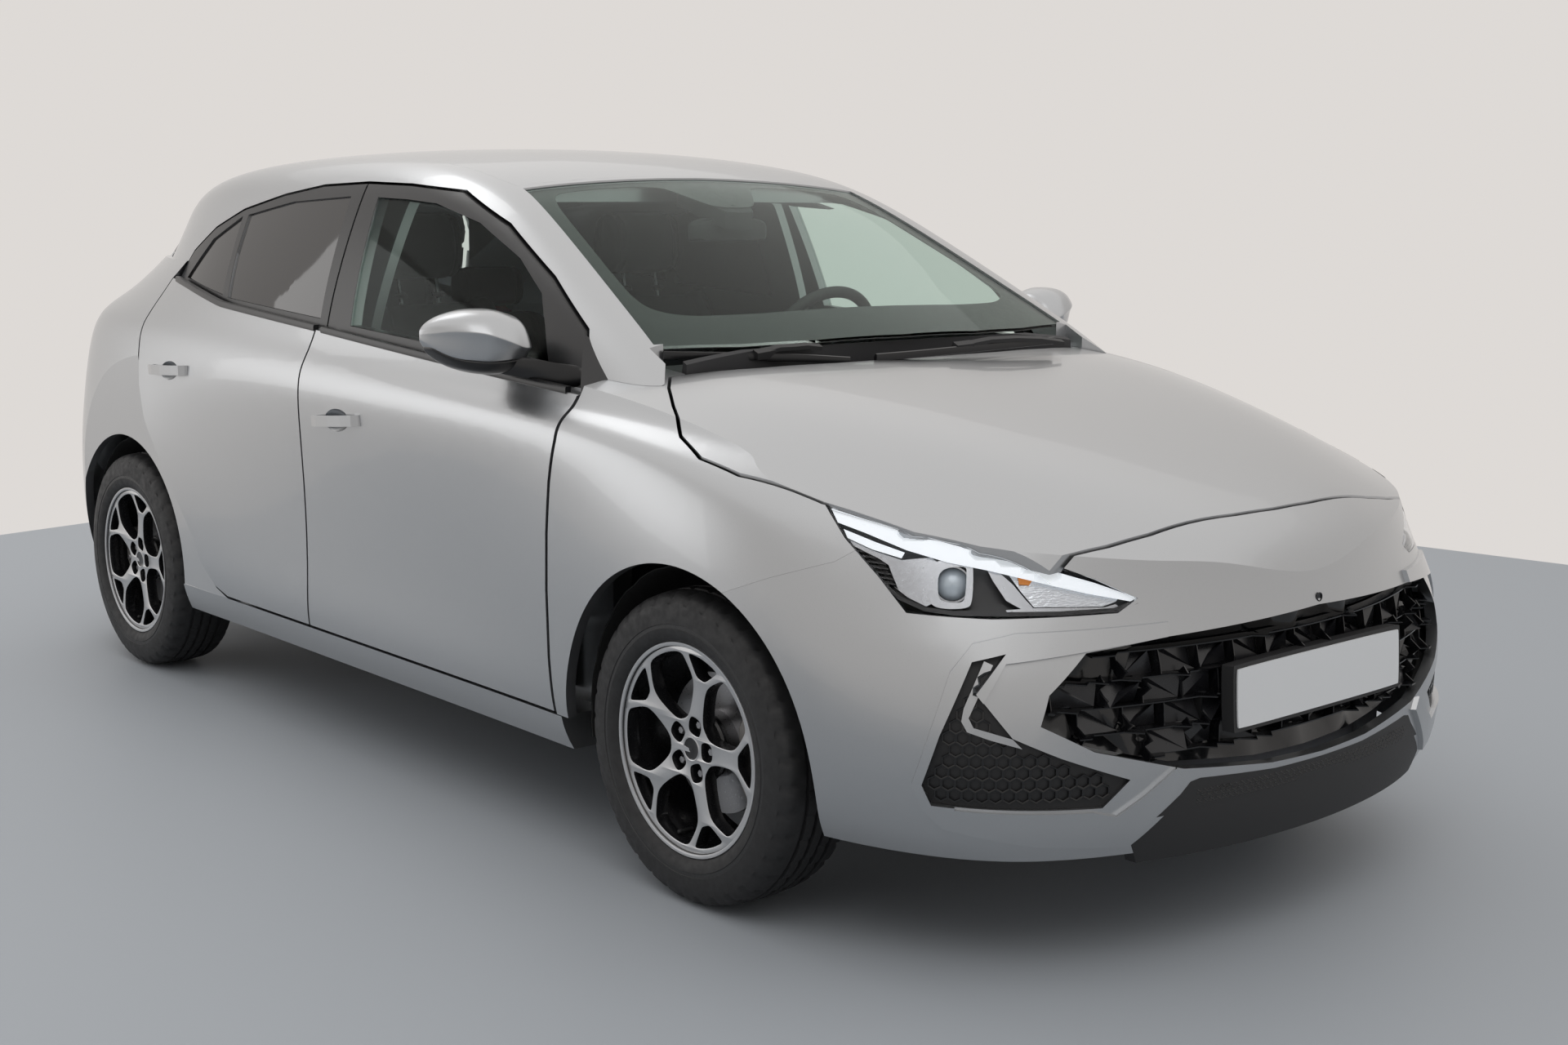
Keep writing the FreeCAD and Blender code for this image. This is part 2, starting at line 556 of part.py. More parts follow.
def front_panels():
    plan = plan_prism(BONNET, bz(560), bz(1300))
    under_bonnet = under(inset(top_net(), skin + gap + 1, DOWN), DROP)
    flange = under_bonnet.common(box((bx(1150), -1200, 0), (3000, 1200, 2000)))
    plan_room = plan_prism(BONNET, bz(560), bz(1300), gap).cut(flange)
    whole_nose = fuse([nose_half, mirror(nose_half)])
    below_hem = wrap_hem.common(bonnet_under_hem)
    edge = whole_nose.common(plan).cut(fuse([below_hem, mirror(below_hem)]))
    panel = whole_nose.common(plan_prism(BONNET, bz(560), bz(1300), -size["hem_inset"]))
    bonnet = fuse([edge, panel.cut(fuse([nose_half_in, mirror(nose_half_in)]))]).cut(bonnet_under_in)
    x, z, y = BONNET_HINGE
    for side in (-1, 1):
        pocket = box((x - 50, side*y - 11, bz(880)), (x + 12, side*y + 11, z + size["hinge_eye"] + 1.5))
        pin = Part.makeCylinder(size["hinge_pin"], 44, Vector(x, side*y - 22, z), Vector(0, 1, 0))
        bonnet = bonnet.cut(pocket).fuse(pin)
    add("bonnet", bonnet)
    lamp_zone = corner_prism(LAMP, 1545)
    lamp_room = corner_prism(LAMP, 1500, SEAM)
    lamp = nose_half.common(lamp_zone).cut(plan_room)
    add_pair("headlamp", lamp)
    fender = nose_shell.common(side_prism(FENDER)).cut(plan_room).cut(front_wells).cut(lamp_room)
    fender = fender.common(box((-3000, by(604), 0), (3000, 1200, 2000)))
    add_pair("front_fender", fender)
    front = nose_shell.common(box((bx(1300), 0, 222), (3000, 1200, 1000)))
    front = front.cut(side_prism(FENDER, 0, SEAM)).cut(plan_room).cut(front_wells).cut(lamp_room)
    front = front.cut(end_prism(GRILLE, bx(1700), 2300)).cut(corner_prism(INTAKE, 1300))
    front = front.cut(end_prism(VALANCE, bx(1700), 2300))
    proud = wrap_solid(flat_inset(wrap_net(), -size["blade_height"])).cut(wrap_in)
    for outline in (WING, BLADE):
        front = front.fuse(proud.common(corner_prism(outline, 1500)))
    front = front.cut(end_prism(GRILLE, bx(1700), 2300)).cut(corner_prism(INTAKE, 1300))
    front = front.cut(end_prism(VALANCE, bx(1700), 2300)).removeSplitter()
    add("front_bumper", fuse([front, mirror(front)]))
    grille_sheets = [wrap_solid(flat_inset(wrap_net(), depth)) for depth in (10, 30, 40)]
    bars_layer = grille_sheets[0].cut(grille_sheets[1])
    backing = grille_sheets[1].cut(grille_sheets[2])
    opening = end_prism(GRILLE, bx(1700), 2300, -SEAM)
    border = opening.cut(end_prism(GRILLE, bx(1700), 2300, -16))
    lattice = Part.makeCompound(grille_bars())
    bars = bars_layer.common(fuse([border, opening.common(lattice)]))
    grille = fuse([bars, backing.common(opening)])
    add("grille", fuse([grille, mirror(grille)]))
    intake = bars_layer.fuse(backing).common(corner_prism(INTAKE, 1300, -SEAM))
    add("side_intakes", both(intake))
    valance = nose_shell.common(end_prism(VALANCE, bx(1700), 2300, -SEAM)).common(box((0, 0, 200), (3000, 1200, 600)))
    add("front_valance", fuse([valance, mirror(valance)]))


def grille_bars():
    """Crossing slanted bars of the lattice, on the left half of the opening."""
    low, high = bz(330), bz(630)
    bars = []
    for lean in (-1, 1):
        for place in range(-3, 8):
            foot = place*by(105)
            head = foot + lean*(high - low)*1.15
            points = [(foot - 6, low), (foot + 6, low), (head + 6, high), (head - 6, high)]
            bars.append(prism(points, bx(1700), 2300, "yz"))
    return bars


front_panels()

def cabin_shell():
    door_room = side_prism(FRONT_DOOR, 0, gap).fuse(side_prism(REAR_DOOR, 0, gap))
    gate_room = end_prism(TAILGATE, -3000, bx(-1632), gap + 4)
    bumper_room = side_prism(REAR_BUMPER, 0, SEAM)
    lamp_room = side_prism(TAIL_LAMP, 0, SEAM)
    quarter = tail_shell.common(box((-3000, 0, 226), (bx(-560), 1200, bz(1170))))
    quarter = quarter.cut(door_room).cut(rear_wells).cut(bumper_room).cut(lamp_room).cut(gate_room)
    deep = size["pillar_depth"]
    rail = house_half.cut(under(inset(house_net(), deep, INSIDE), DROP).common(back_in))
    rail_room = box((-3000, 0, bz(1000)), (bx(935), 1200, 2000)).fuse(box((bx(790), 0, bz(930)), (bx(935), 1200, 1100)))
    rail = rail.common(rail_room).cut(side_prism(PILLAR_FOOT))
    rail = rail.cut(box((bx(780), -1, 0), (3000, by(604), 2000))).cut(box((bx(838), -1, 0), (3000, by(650), 2000)))
    roof_room = plan_prism(ROOF, 0, 2000)
    screen_room = plan_prism(SCREEN, bz(900), 2000)
    plan_room = plan_prism(BONNET, bz(560), bz(1300), gap + 6)
    nose_room = under(top_net(), DROP)
    nose_room.translate(Vector(0, 0, SEAM))
    rail = rail.cut(door_room).cut(gate_room).cut(roof_room).cut(screen_room).cut(plan_room).cut(nose_room)
    ring = house_sheet(frame_depth + size["pillar_gap"], deep).common(back_in).common(HALF)
    ring = ring.common(side_prism(RING, by(500)).cut(side_prism(FRONT_HOLE)).cut(side_prism(REAR_HOLE)))
    ring = ring.common(box((-3000, 0, bz(925)), (3000, 1200, 2000)))
    low_ring = prism(side_outline(LOW_RING), size["cabin_half_width"], door_in - 16)
    low_ring = low_ring.cut(prism(side_outline(FRONT_HOLE), 0, 1000)).cut(prism(side_outline(REAR_HOLE), 0, 1000))
    low_ring = low_ring.cut(rear_wells).cut(front_liner)
    sill = wrap.common(box((bx(-1010), size["cabin_half_width"], 226), (bx(838), 1200, size["sill_top"] - 2)))
    sill = sill.cut(front_liner).cut(rear_wells)
    leaves = [hinge_leaf(x, y, z) for x, y, heights in (FRONT_HINGE, REAR_HINGE) for z in heights]
    frame = fuse([quarter, rail, ring, low_ring, sill] + leaves)
    add_pair("side_frame", frame)
    roof = house_shell.common(plan_prism(ROOF, bz(1000), 2000, -SEAM))
    add("roof_panel", fuse([roof, mirror(roof)] + [tailgate_hinge_arm(side) for side in (-1, 1)]))
    screen = house_sheet(size["glass_step"], size["glass_step"] + size["glass_sheet"])
    add("windscreen", screen.common(plan_prism(SCREEN, bz(900), 2000, -SEAM)))


# Tailgate hinge: station, height, half width of the arms
TAILGATE_HINGE = (bx(-1675), bz(1345), by(170))


def tailgate_hinge_arm(side):
    """Arm that drops from the roof's rear edge and comes up under the tailgate's lip."""
    x, z, y = TAILGATE_HINGE
    y *= side
    low = z - 45
    reach = box((x - 6, y - 5, low), (x + 75, y + 5, low + 12))
    post = box((x - 6, y - 5, low), (x + 6, y + 5, z))
    riser = box((x + 63, y - 5, low), (x + 75, y + 5, z + 7))
    eye = Part.makeCylinder(size["hinge_eye"], 16, Vector(x, y - 8, z), Vector(0, 1, 0))
    bore = Part.makeCylinder(size["hinge_pin"] + SEAM, 40, Vector(x, y - 20, z), Vector(0, 1, 0))
    return fuse([reach, post, riser, eye]).cut(bore)


ROOF = [(-1632, 0), (-1632, 468), (-1200, 540), (-550, 556), (100, 536), (166, 525), (166, 0)]
SCREEN = [(915, 0), (905, 250), (880, 440), (845, 590), (832, 635), (222, 524), (185, 520), (176, 0)]
PILLAR_FOOT = [(838, 1068), (940, 1005), (1000, 1005), (1000, 1200), (838, 1200)]
RING = [(470, 915), (470, 1260), (400, 1330), (215, 1400), (-250, 1450), (-880, 1400),
        (-1200, 1290), (-1380, 1150), (-1380, 915)]
LOW_RING = [(840, 240), (840, 900), (-200, 980), (-365, 985), (-841, 1012), (-1180, 1045), (-1200, 940), (-1190, 735),
            (-1070, 596), (-929, 455), (-870, 240)]
FRONT_HOLE = [(-200, 310), (690, 310), (700, 960), (640, 1010), (540, 1130), (360, 1250), (200, 1320),
              (-190, 1340)]
REAR_HOLE = [(-365, 310), (-790, 310), (-900, 470), (-1050, 640), (-1130, 760), (-1130, 1010), (-1180, 1100),
             (-1100, 1180), (-880, 1270), (-500, 1330), (-320, 1340), (-318, 1040), (-365, 975)]


def tail_panels():
    tail_whole = fuse([tail_half, house_half])
    hollow = fuse([tail_half_in.common(HALF), house_in.common(back_in).common(HALF)])
    shallow = fuse([wrap_hem.common(back_hem).common(HALF), house_hem.common(back_hem).common(HALF)])
    edge = tail_whole.cut(shallow).common(end_prism(TAILGATE, -3000, bx(-1645)))
    panel = tail_whole.cut(hollow).common(end_prism(TAILGATE, -3000, bx(-1659), -14))
    gate = fuse([edge, panel]).cut(end_prism(REAR_GLASS, -3000, 0))
    gate = fuse([gate, mirror(gate)])
    x, z, y = TAILGATE_HINGE
    for side in (-1, 1):
        pocket = box((x - 12, side*y - 11, bz(1200)), (x + 60, side*y + 11, z + size["hinge_eye"] + 1.5))
        pin = Part.makeCylinder(size["hinge_pin"], 44, Vector(x, side*y - 22, z), Vector(0, 1, 0))
        gate = gate.cut(pocket).fuse(pin)
    add("tailgate", gate)
    pane = ahead(inset(back_net(), size["glass_step"], FORWARD), 4200)
    pane = pane.cut(ahead(inset(back_net(), size["glass_step"] + size["glass_sheet"], FORWARD), 4200))
    add("tailgate_glass", pane.common(end_prism(REAR_GLASS, -3000, 0, -0.4)))
    lamp = tail_shell.common(side_prism(TAIL_LAMP, 0, 0)).cut(end_prism(TAILGATE, -3000, bx(-1632), gap + 4))
    add("tail_lamps", both(lamp))
    bumper = tail_shell.common(side_prism(REAR_BUMPER)).common(box((-3000, -1, 226), (0, 1200, 2000)))
    bumper = bumper.cut(end_prism(TAILGATE, -3000, bx(-1632), gap)).cut(rear_wells)
    add("rear_bumper", fuse([bumper, mirror(bumper)]))


tail_panels()
cabin_shell()

def extruded(points, half_width, inner=0):
    """Side profile pushed out to both sides, or to the left from inner on."""
    if inner:
        return prism(side_outline(points), inner, half_width)
    return prism(side_outline(points), -half_width, half_width)


def structure():
    cabin = size["cabin_half_width"] - SEAM
    low, sheet_top = size["floor_level"], size["floor_level"] + size["floor_sheet"]
    boot = bz(330)
    tunnel_end = bx(-370)
    pan = box((bx(-960), -cabin, low), (bx(770), cabin, sheet_top))
    tunnel = box((tunnel_end, -110, low), (bx(770), 110, sheet_top + 90))
    hollow = box((tunnel_end - 10, -75, low - 10), (bx(790), 75, sheet_top + 60))
    riser = box((bx(-990), -by(620), low), (bx(-955), by(620), boot + 24))
    boot_floor = box((bx(-1985), -by(470), boot), (bx(-960), by(470), boot + 24))
    add("floor_pan", fuse([fuse([pan, tunnel]).cut(hollow), riser, boot_floor]))
    wall = box((bx(770) + SEAM, -cabin, low), (bx(800), cabin, bz(935)))
    cowl = extruded([(785, 905), (785, 935), (878, 962), (888, 1040), (898, 1040), (898, 935), (800, 905)], by(600))
    cowl = cowl.common(under(inset(house_net(), size["glass_step"] + size["glass_sheet"] + SEAM, INSIDE), DROP))
    towers = [box((bx(799), min(y, y + side*by(130)), 706), (front_axle + 70, max(y, y + side*by(130)), 740))
              for side in (-1, 1) for y in (side*by(500),)]
    foot, head = (Vector(front_axle, half, height) for half, height in (lower_ball, strut_top))
    along = (head - foot).normalize()
    boss = rod(head - along*25, head + along*40, 10)
    arms = [bonnet_hinge_arm(side) for side in (-1, 1)]
    add("bulkhead", fuse([wall, cowl, boss, mirror(boss)] + towers + arms))
    dash = extruded([(770, 640), (770, 890), (730, 950), (620, 985), (480, 972), (430, 905),
                     (455, 800), (560, 690), (640, 630)], cabin - 1)
    hub = Vector(bx(228), by(360), bz(947))
    along = Vector(math.cos(math.radians(25)), 0, -math.sin(math.radians(25)))
    column = rod(hub + along*20.4, hub + along*330, 34)
    add("dashboard", fuse([dash, column]))
    rails = [box((bx(800) + SEAM, y - 35, 250), (bx(1880), y + 35, 350)) for y in (-by(430), by(430))]
    cross = [box((bx(x), -by(430), 250), (bx(x + 70), by(430), 330)) for x in (930, 1430, 1800)]
    arms = []
    for side in (-1, 1):
        centre = Vector(front_axle, side*lower_ball[0], lower_ball[1])
        joint = centre - Vector(0, 0, 34)
        arms += [rod(Vector(front_axle + x, side*by(440), 268), joint, 12) for x in (-230, 240)]
        arms.append(rod(joint, centre, 6))
        arms.append(Part.makeSphere(size["ball_radius"] - SEAM, centre))
    add("front_subframe", fuse(rails + cross + arms))
    add("engine_block", box((bx(965), -by(360), 330 + SEAM), (bx(1465), by(360), bz(760))))
    beam = rod(Vector(rear_axle + 130, -by(560), 284), Vector(rear_axle + 130, by(560), 284), 42)
    trails = [box((rear_axle - 60, y - 30, 262), (bx(-990) - SEAM, y + 30, 325)) for y in (-by(560), by(560))]
    stubs = [rod(Vector(rear_axle, side*by(560), size["tyre_radius"]),
                 Vector(rear_axle, side*(size["track_width"]/2 + 20), size["tyre_radius"]), size["spindle_radius"])
             for side in (-1, 1)]
    add("rear_axle", fuse([beam] + trails + stubs))
    pipe_level = low - 26 - SEAM
    pipe = rod(Vector(bx(760), -by(130), pipe_level), Vector(bx(-1500), -by(130), pipe_level), 26)
    silencer = box((bx(-1880), -by(330), 205), (bx(-1640), by(130), boot - SEAM))
    tail = rod(Vector(bx(-1500), -by(130), pipe_level), Vector(bx(-1660), -by(130), 250), 26)
    add("exhaust", fuse([pipe, tail, silencer]))


# Steering axis: lower ball and strut top as (half width, height)
lower_ball = (by(680), 215)
strut_top = (by(575), 700)


def seats():
    width, depth = size["seat_width"], size["seat_depth"]
    low = size["floor_level"] + size["floor_sheet"] + size["seat_clearance"]
    shapes = []
    for y in (-by(370), by(370)):
        base = box((bx(-370), y - 190, low), (bx(-370) + depth - 60, y + 190, low + 90))
        profile = [(-410, 370), (-410, 500), (120, 530), (140, 500), (130, 400), (80, 350)]
        cushion = prism(side_outline(profile), y - width/2, y + width/2)
        back_profile = [(-410, 420), (-590, 1060), (-530, 1100), (-470, 1080), (-270, 500), (-300, 440)]
        rest = prism(side_outline(back_profile), y - width/2 + 10, y + width/2 - 10)
        head_profile = [(-625, 1130), (-605, 1290), (-550, 1310), (-510, 1280), (-522, 1130), (-560, 1105)]
        head = prism(side_outline(head_profile), y - 125, y + 125)
        post = prism(side_outline([(-578, 1060), (-580, 1150), (-560, 1150), (-550, 1060)]), y - 60, y + 60)
        shapes.append(fuse([base, cushion, rest, head, post]))
    add("front_seats", Part.makeCompound(shapes))
    step = bz(330) + 24 + size["seat_clearance"]
    bench = prism([(bx(-1130), step), (bx(-1130), 450), (bx(-690), 500), (bx(-650), 460), (bx(-670), low),
                   (bx(-950), low), (bx(-950), step)], -by(600), by(600))
    rest = prism([(bx(-1190), step), (bx(-1350), bz(990)), (bx(-1300), bz(1010)), (bx(-1230), bz(990)),
                  (bx(-1090), 440), (bx(-1100), step)], -by(560), by(560))
    add("rear_seat", fuse([bench, rest]))


def revolve(points, x, y, z):
    """Ring about the axle: points are (distance from the wheel's middle, radius)."""
    wire = Part.makePolygon([Vector(x, y + a, z + r) for a, r in points + points[:1]])
    return Part.Face(wire).revolve(Vector(x, y, z), Vector(0, 1, 0), 360)


def wheels():
    radius, half = size["tyre_radius"], size["tyre_width"]/2
    bead = radius - size["tyre_sidewall"]
    depth = size["rim_depth"]/2
    for place, x in (("front", front_axle), ("rear", rear_axle)):
        y = size["track_width"]/2
        z = radius
        section = [(-half + 14, bead), (-half + 2, bead + 40), (-half + 4, radius - 22), (-half + 26, radius - 3),
                   (0, radius), (half - 26, radius - 3), (half - 4, radius - 22), (half - 2, bead + 40),
                   (half - 14, bead)]
        add_pair("tyre_" + place, revolve(section, x, y, z))
        lip = bead - 0.3
        rim = [(-depth + 10, lip), (depth + 4, lip), (depth + 6, lip - 10), (depth - 14, lip - 16),
               (-depth + 10, lip - 18)]
        parts = [revolve(rim, x, y, z)]
        face = depth - 6
        bore, hub = size["spindle_radius"] + SEAM, size["hub_radius"]
        parts.append(revolve([(-18, bore), (-18, hub), (face - 14, hub), (face - 10, 22), (face - 10, 0),
                              (face - 40, 0), (face - 40, bore)], x, y, z))
        for turn in range(5):
            angle = math.radians(90 + 72*turn)
            arm = [(-22, 50), (22, 50), (14, 120), (44, lip - 10), (26, lip - 6), (0, lip - 70),
                   (-26, lip - 6), (-44, lip - 10), (-14, 120)]
            wire = Part.makePolygon([Vector(a, 0, b) for a, b in arm + arm[:1]])
            spoke = Part.Face(wire).extrude(Vector(0, 26, 0))
            spoke.rotate(Vector(0, 0, 0), Vector(0, 1, 0), math.degrees(angle))
            spoke.translate(Vector(x, y + face - 30, z))
            parts.append(spoke)
        disc_end = size["disc_sheet"] - 18
        disc = revolve([(-18, hub - 2), (-18, size["disc_radius"]), (disc_end, size["disc_radius"]), (disc_end, hub - 2)],
                       x, y, z)
        parts.append(disc)
        add_pair("wheel_" + place, fuse(parts))


def knuckles():
    radius = size["tyre_radius"]
    y = size["track_width"]/2
    hub = Vector(front_axle, y, radius)
    carrier = rod(hub + Vector(0, -75, 0), hub + Vector(0, -19, 0), 44)
    spindle = rod(hub + Vector(0, -30, 0), hub + Vector(0, 20, 0), size["spindle_radius"])
    low = lower_ball[1] + 10
    upright = prism([(front_axle - 30, low), (front_axle - 34, radius + 100), (front_axle + 34, radius + 100),
                     (front_axle + 30, low)], y - 112, y - 72)
    foot = Vector(front_axle, lower_ball[0], lower_ball[1])
    head = Vector(front_axle, strut_top[0], strut_top[1])
    along = (head - foot).normalize()
    strut = rod(foot + along*120, head, 22)
    socket = Part.makeSphere(size["ball_radius"] + 8, foot)
    knuckle = fuse([carrier, spindle, upright, strut, socket])
    knuckle = knuckle.cut(Part.makeSphere(size["ball_radius"], foot)).cut(rod(foot, foot - Vector(0, 0, 30), 10))
    add_pair("knuckle", knuckle.cut(rod(head - along*30, head + along*2, 10 + SEAM)))


def controls():
    centre = Vector(bx(228), by(360), bz(947))
    wheel = Part.makeTorus(size["wheel_rim_radius"], size["wheel_grip"])
    hub = Part.makeCylinder(52, 40, Vector(0, 0, -20))
    bars = [Part.makeBox(2*size["wheel_rim_radius"] - 10, 34, 14, Vector(-size["wheel_rim_radius"] + 5, -17, -7)),
            Part.makeBox(30, size["wheel_rim_radius"] - 6, 14, Vector(-15, -size["wheel_rim_radius"] + 6, -7))]
    wheel = fuse([wheel, hub] + bars)
    wheel.rotate(Vector(0, 0, 0), Vector(0, 0, 1), -90)
    wheel.rotate(Vector(0, 0, 0), Vector(0, 1, 0), -65)
    wheel.translate(centre)
    add("steering_wheel", wheel)


def mirrors():
    """Rounded housing with a flat glass side to the rear, on an arm from the door's front corner."""
    ball = Part.makeSphere(100, Vector(0, 0, 0))
    stretch = FreeCAD.Matrix(0.95, 0, 0, 0, 0, 1.02, 0, 0, 0, 0, 0.70, 0)
    housing = ball.transformGeometry(stretch)
    housing = housing.common(box((-62, -92, -66), (100, 92, 66)))
    housing.rotate(Vector(0, 0, 0), Vector(0, 0, 1), 8)
    housing.translate(Vector(bx(545), by(897), bz(1066)))
    arm = prism(side_outline([(560, 975), (540, 1020), (620, 1028), (690, 1008), (735, 985), (700, 960)]),
                by(740), by(870))
    door_side = fuse([house_half, wrap.common(side_prism(BELT_BELOW))])
    door_side.translate(Vector(0, SEAM, SEAM))
    add_pair("mirror", fuse([housing, arm]).cut(door_side))


structure()
seats()
wheels()
knuckles()
controls()
mirrors()

doc.recompute()
broken = [o.Label for o in doc.Objects if "Invalid" in o.State or "Error" in o.State]
broken += [n.Label for n in nodes if n.Shape.isNull() or not n.Shape.isValid()]
if broken:
    raise SystemExit("not sound: " + ", ".join(broken))
os.makedirs("parts", exist_ok=True)
for feature in nodes:
    feature.Shape.exportStep("parts/%s.step" % feature.Label)
print(len(nodes), "nodes")
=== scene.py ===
import math

import bmesh
import bpy
from mathutils import Matrix, Vector
from mathutils.bvhtree import BVHTree
from mathutils.geometry import delaunay_2d_cdt

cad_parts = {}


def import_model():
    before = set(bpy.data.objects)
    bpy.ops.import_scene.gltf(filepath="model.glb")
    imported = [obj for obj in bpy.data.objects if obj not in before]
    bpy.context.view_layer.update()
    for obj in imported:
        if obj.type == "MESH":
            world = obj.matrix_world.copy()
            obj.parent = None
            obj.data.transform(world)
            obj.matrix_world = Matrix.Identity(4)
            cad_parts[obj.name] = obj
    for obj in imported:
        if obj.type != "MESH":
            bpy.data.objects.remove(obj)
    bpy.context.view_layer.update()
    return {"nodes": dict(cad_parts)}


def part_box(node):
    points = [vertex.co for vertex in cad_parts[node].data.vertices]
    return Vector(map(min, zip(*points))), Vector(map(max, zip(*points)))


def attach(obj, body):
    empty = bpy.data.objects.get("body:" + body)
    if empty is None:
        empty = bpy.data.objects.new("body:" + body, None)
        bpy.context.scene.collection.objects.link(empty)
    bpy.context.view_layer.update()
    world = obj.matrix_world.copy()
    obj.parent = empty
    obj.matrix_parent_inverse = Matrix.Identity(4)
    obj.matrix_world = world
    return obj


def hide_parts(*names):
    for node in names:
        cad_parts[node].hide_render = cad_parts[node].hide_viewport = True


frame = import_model()
nodes = frame["nodes"]
scene = bpy.context.scene
MM = 0.001
SIDES = (("right", -1), ("left", 1))
ROOTS = ("root", "root")
LENS, SENSOR = 44.8178, 36.0
PHOTO_WIDTH, PHOTO_HEIGHT = 1920, 1280


def linked(name, data):
    """New object in the scene."""
    obj = bpy.data.objects.new(name, data)
    scene.collection.objects.link(obj)
    return obj


def camera():
    """Camera at the photograph's viewing angle; eye in metres, angles in degrees."""
    eye, yaw, pitch, roll = (4.0519, -3.0889, 1.3586), 138.835, -9.4756, 0.3614
    data = bpy.data.cameras.new("view_camera")
    data.lens, data.sensor_width, data.clip_end = LENS, SENSOR, 100.0
    obj = linked("view_camera", data)
    turn = Matrix.Rotation(math.radians(yaw - 90), 4, "Z") @ Matrix.Rotation(math.radians(90 + pitch), 4, "X")
    obj.matrix_world = Matrix.Translation(eye) @ turn @ Matrix.Rotation(math.radians(roll), 4, "Z")
    scene.camera = obj


# Finishes

def shader_of(mat):
    """The material's one shader."""
    return mat.node_tree.nodes["Principled BSDF"]


def set_sockets(node, values):
    """Values of a node's sockets; an underscore in a key stands for a space."""
    for key, value in values.items():
        node.inputs[key.replace("_", " ")].default_value = value


def node_of(tree, kind, **values):
    """New shader node; values name its sockets."""
    node = tree.nodes.new("ShaderNode" + kind)
    set_sockets(node, values)
    return node


def material(name, color, roughness=0.5, metallic=0.0, **values):
    """Principled material; values name further sockets."""
    mat = bpy.data.materials.new(name)
    mat.use_nodes = True
    set_sockets(shader_of(mat), {"Base Color": (*color, 1), "Roughness": roughness, "Metallic": metallic})
    set_sockets(shader_of(mat), values)
    return mat


def noise_of(mat, scale, detail=4.0, stretch=(1, 1, 1)):
    """Noise in the object's space, stretched along its axes."""
    tree = mat.node_tree
    place = node_of(tree, "TexCoord")
    spread = node_of(tree, "Mapping", Scale=stretch)
    noise = node_of(tree, "TexNoise", Scale=scale, Detail=detail)
    tree.links.new(place.outputs["Object"], spread.inputs["Vector"])
    tree.links.new(spread.outputs["Vector"], noise.inputs["Vector"])
    return noise


def add_noise(mat, scale, low, high):
    """Roughness that wanders between two values."""
    tree = mat.node_tree
    noise = noise_of(mat, scale)
    spread = node_of(tree, "MapRange", From_Min=0.3, From_Max=0.7, To_Min=low, To_Max=high)
    tree.links.new(noise.outputs["Fac"], spread.inputs["Value"])
    tree.links.new(spread.outputs["Result"], shader_of(mat).inputs["Roughness"])


def add_tint(mat, scale, first, second):
    """Base colour that wanders between two colours."""
    tree = mat.node_tree
    noise = noise_of(mat, scale)
    ramp = node_of(tree, "ValToRGB")
    for stop, place, color in zip(ramp.color_ramp.elements, (0.35, 0.65), (first, second)):
        stop.position = place
        stop.color = (*color, 1)
    tree.links.new(noise.outputs["Fac"], ramp.inputs["Fac"])
    tree.links.new(ramp.outputs["Color"], shader_of(mat).inputs["Base Color"])


def raise_by(mat, height, strength, distance):
    """Relief from a socket that gives the height."""
    tree = mat.node_tree
    bump = node_of(tree, "Bump", Strength=strength, Distance=distance)
    tree.links.new(height, bump.inputs["Height"])
    tree.links.new(bump.outputs["Normal"], shader_of(mat).inputs["Normal"])


def add_bump(mat, scale, strength, distance, stretch=(1, 1, 1)):
    """Relief of noise."""
    raise_by(mat, noise_of(mat, scale, 2.0, stretch).outputs["Fac"], strength, distance)


def add_cells(mat, scale, strength, distance):
    """Relief of small cells."""
    tree = mat.node_tree
    place = node_of(tree, "TexCoord")
    cells = node_of(tree, "TexVoronoi", Scale=scale)
    tree.links.new(place.outputs["Object"], cells.inputs["Vector"])
    raise_by(mat, cells.outputs["Distance"], strength, distance)


def add_weave(mat, scale, strength, distance):
    """Relief of crossed waves, as the threads of a cloth."""
    tree = mat.node_tree
    place = node_of(tree, "TexCoord")
    total = node_of(tree, "Math")
    total.operation = "ADD"
    for i, axis in enumerate(("X", "Z")):
        wave = node_of(tree, "TexWave", Scale=scale, Distortion=1.5)
        wave.bands_direction = axis
        tree.links.new(place.outputs["Object"], wave.inputs["Vector"])
        tree.links.new(wave.outputs["Fac"], total.inputs[i])
    raise_by(mat, total.outputs["Value"], strength, distance)


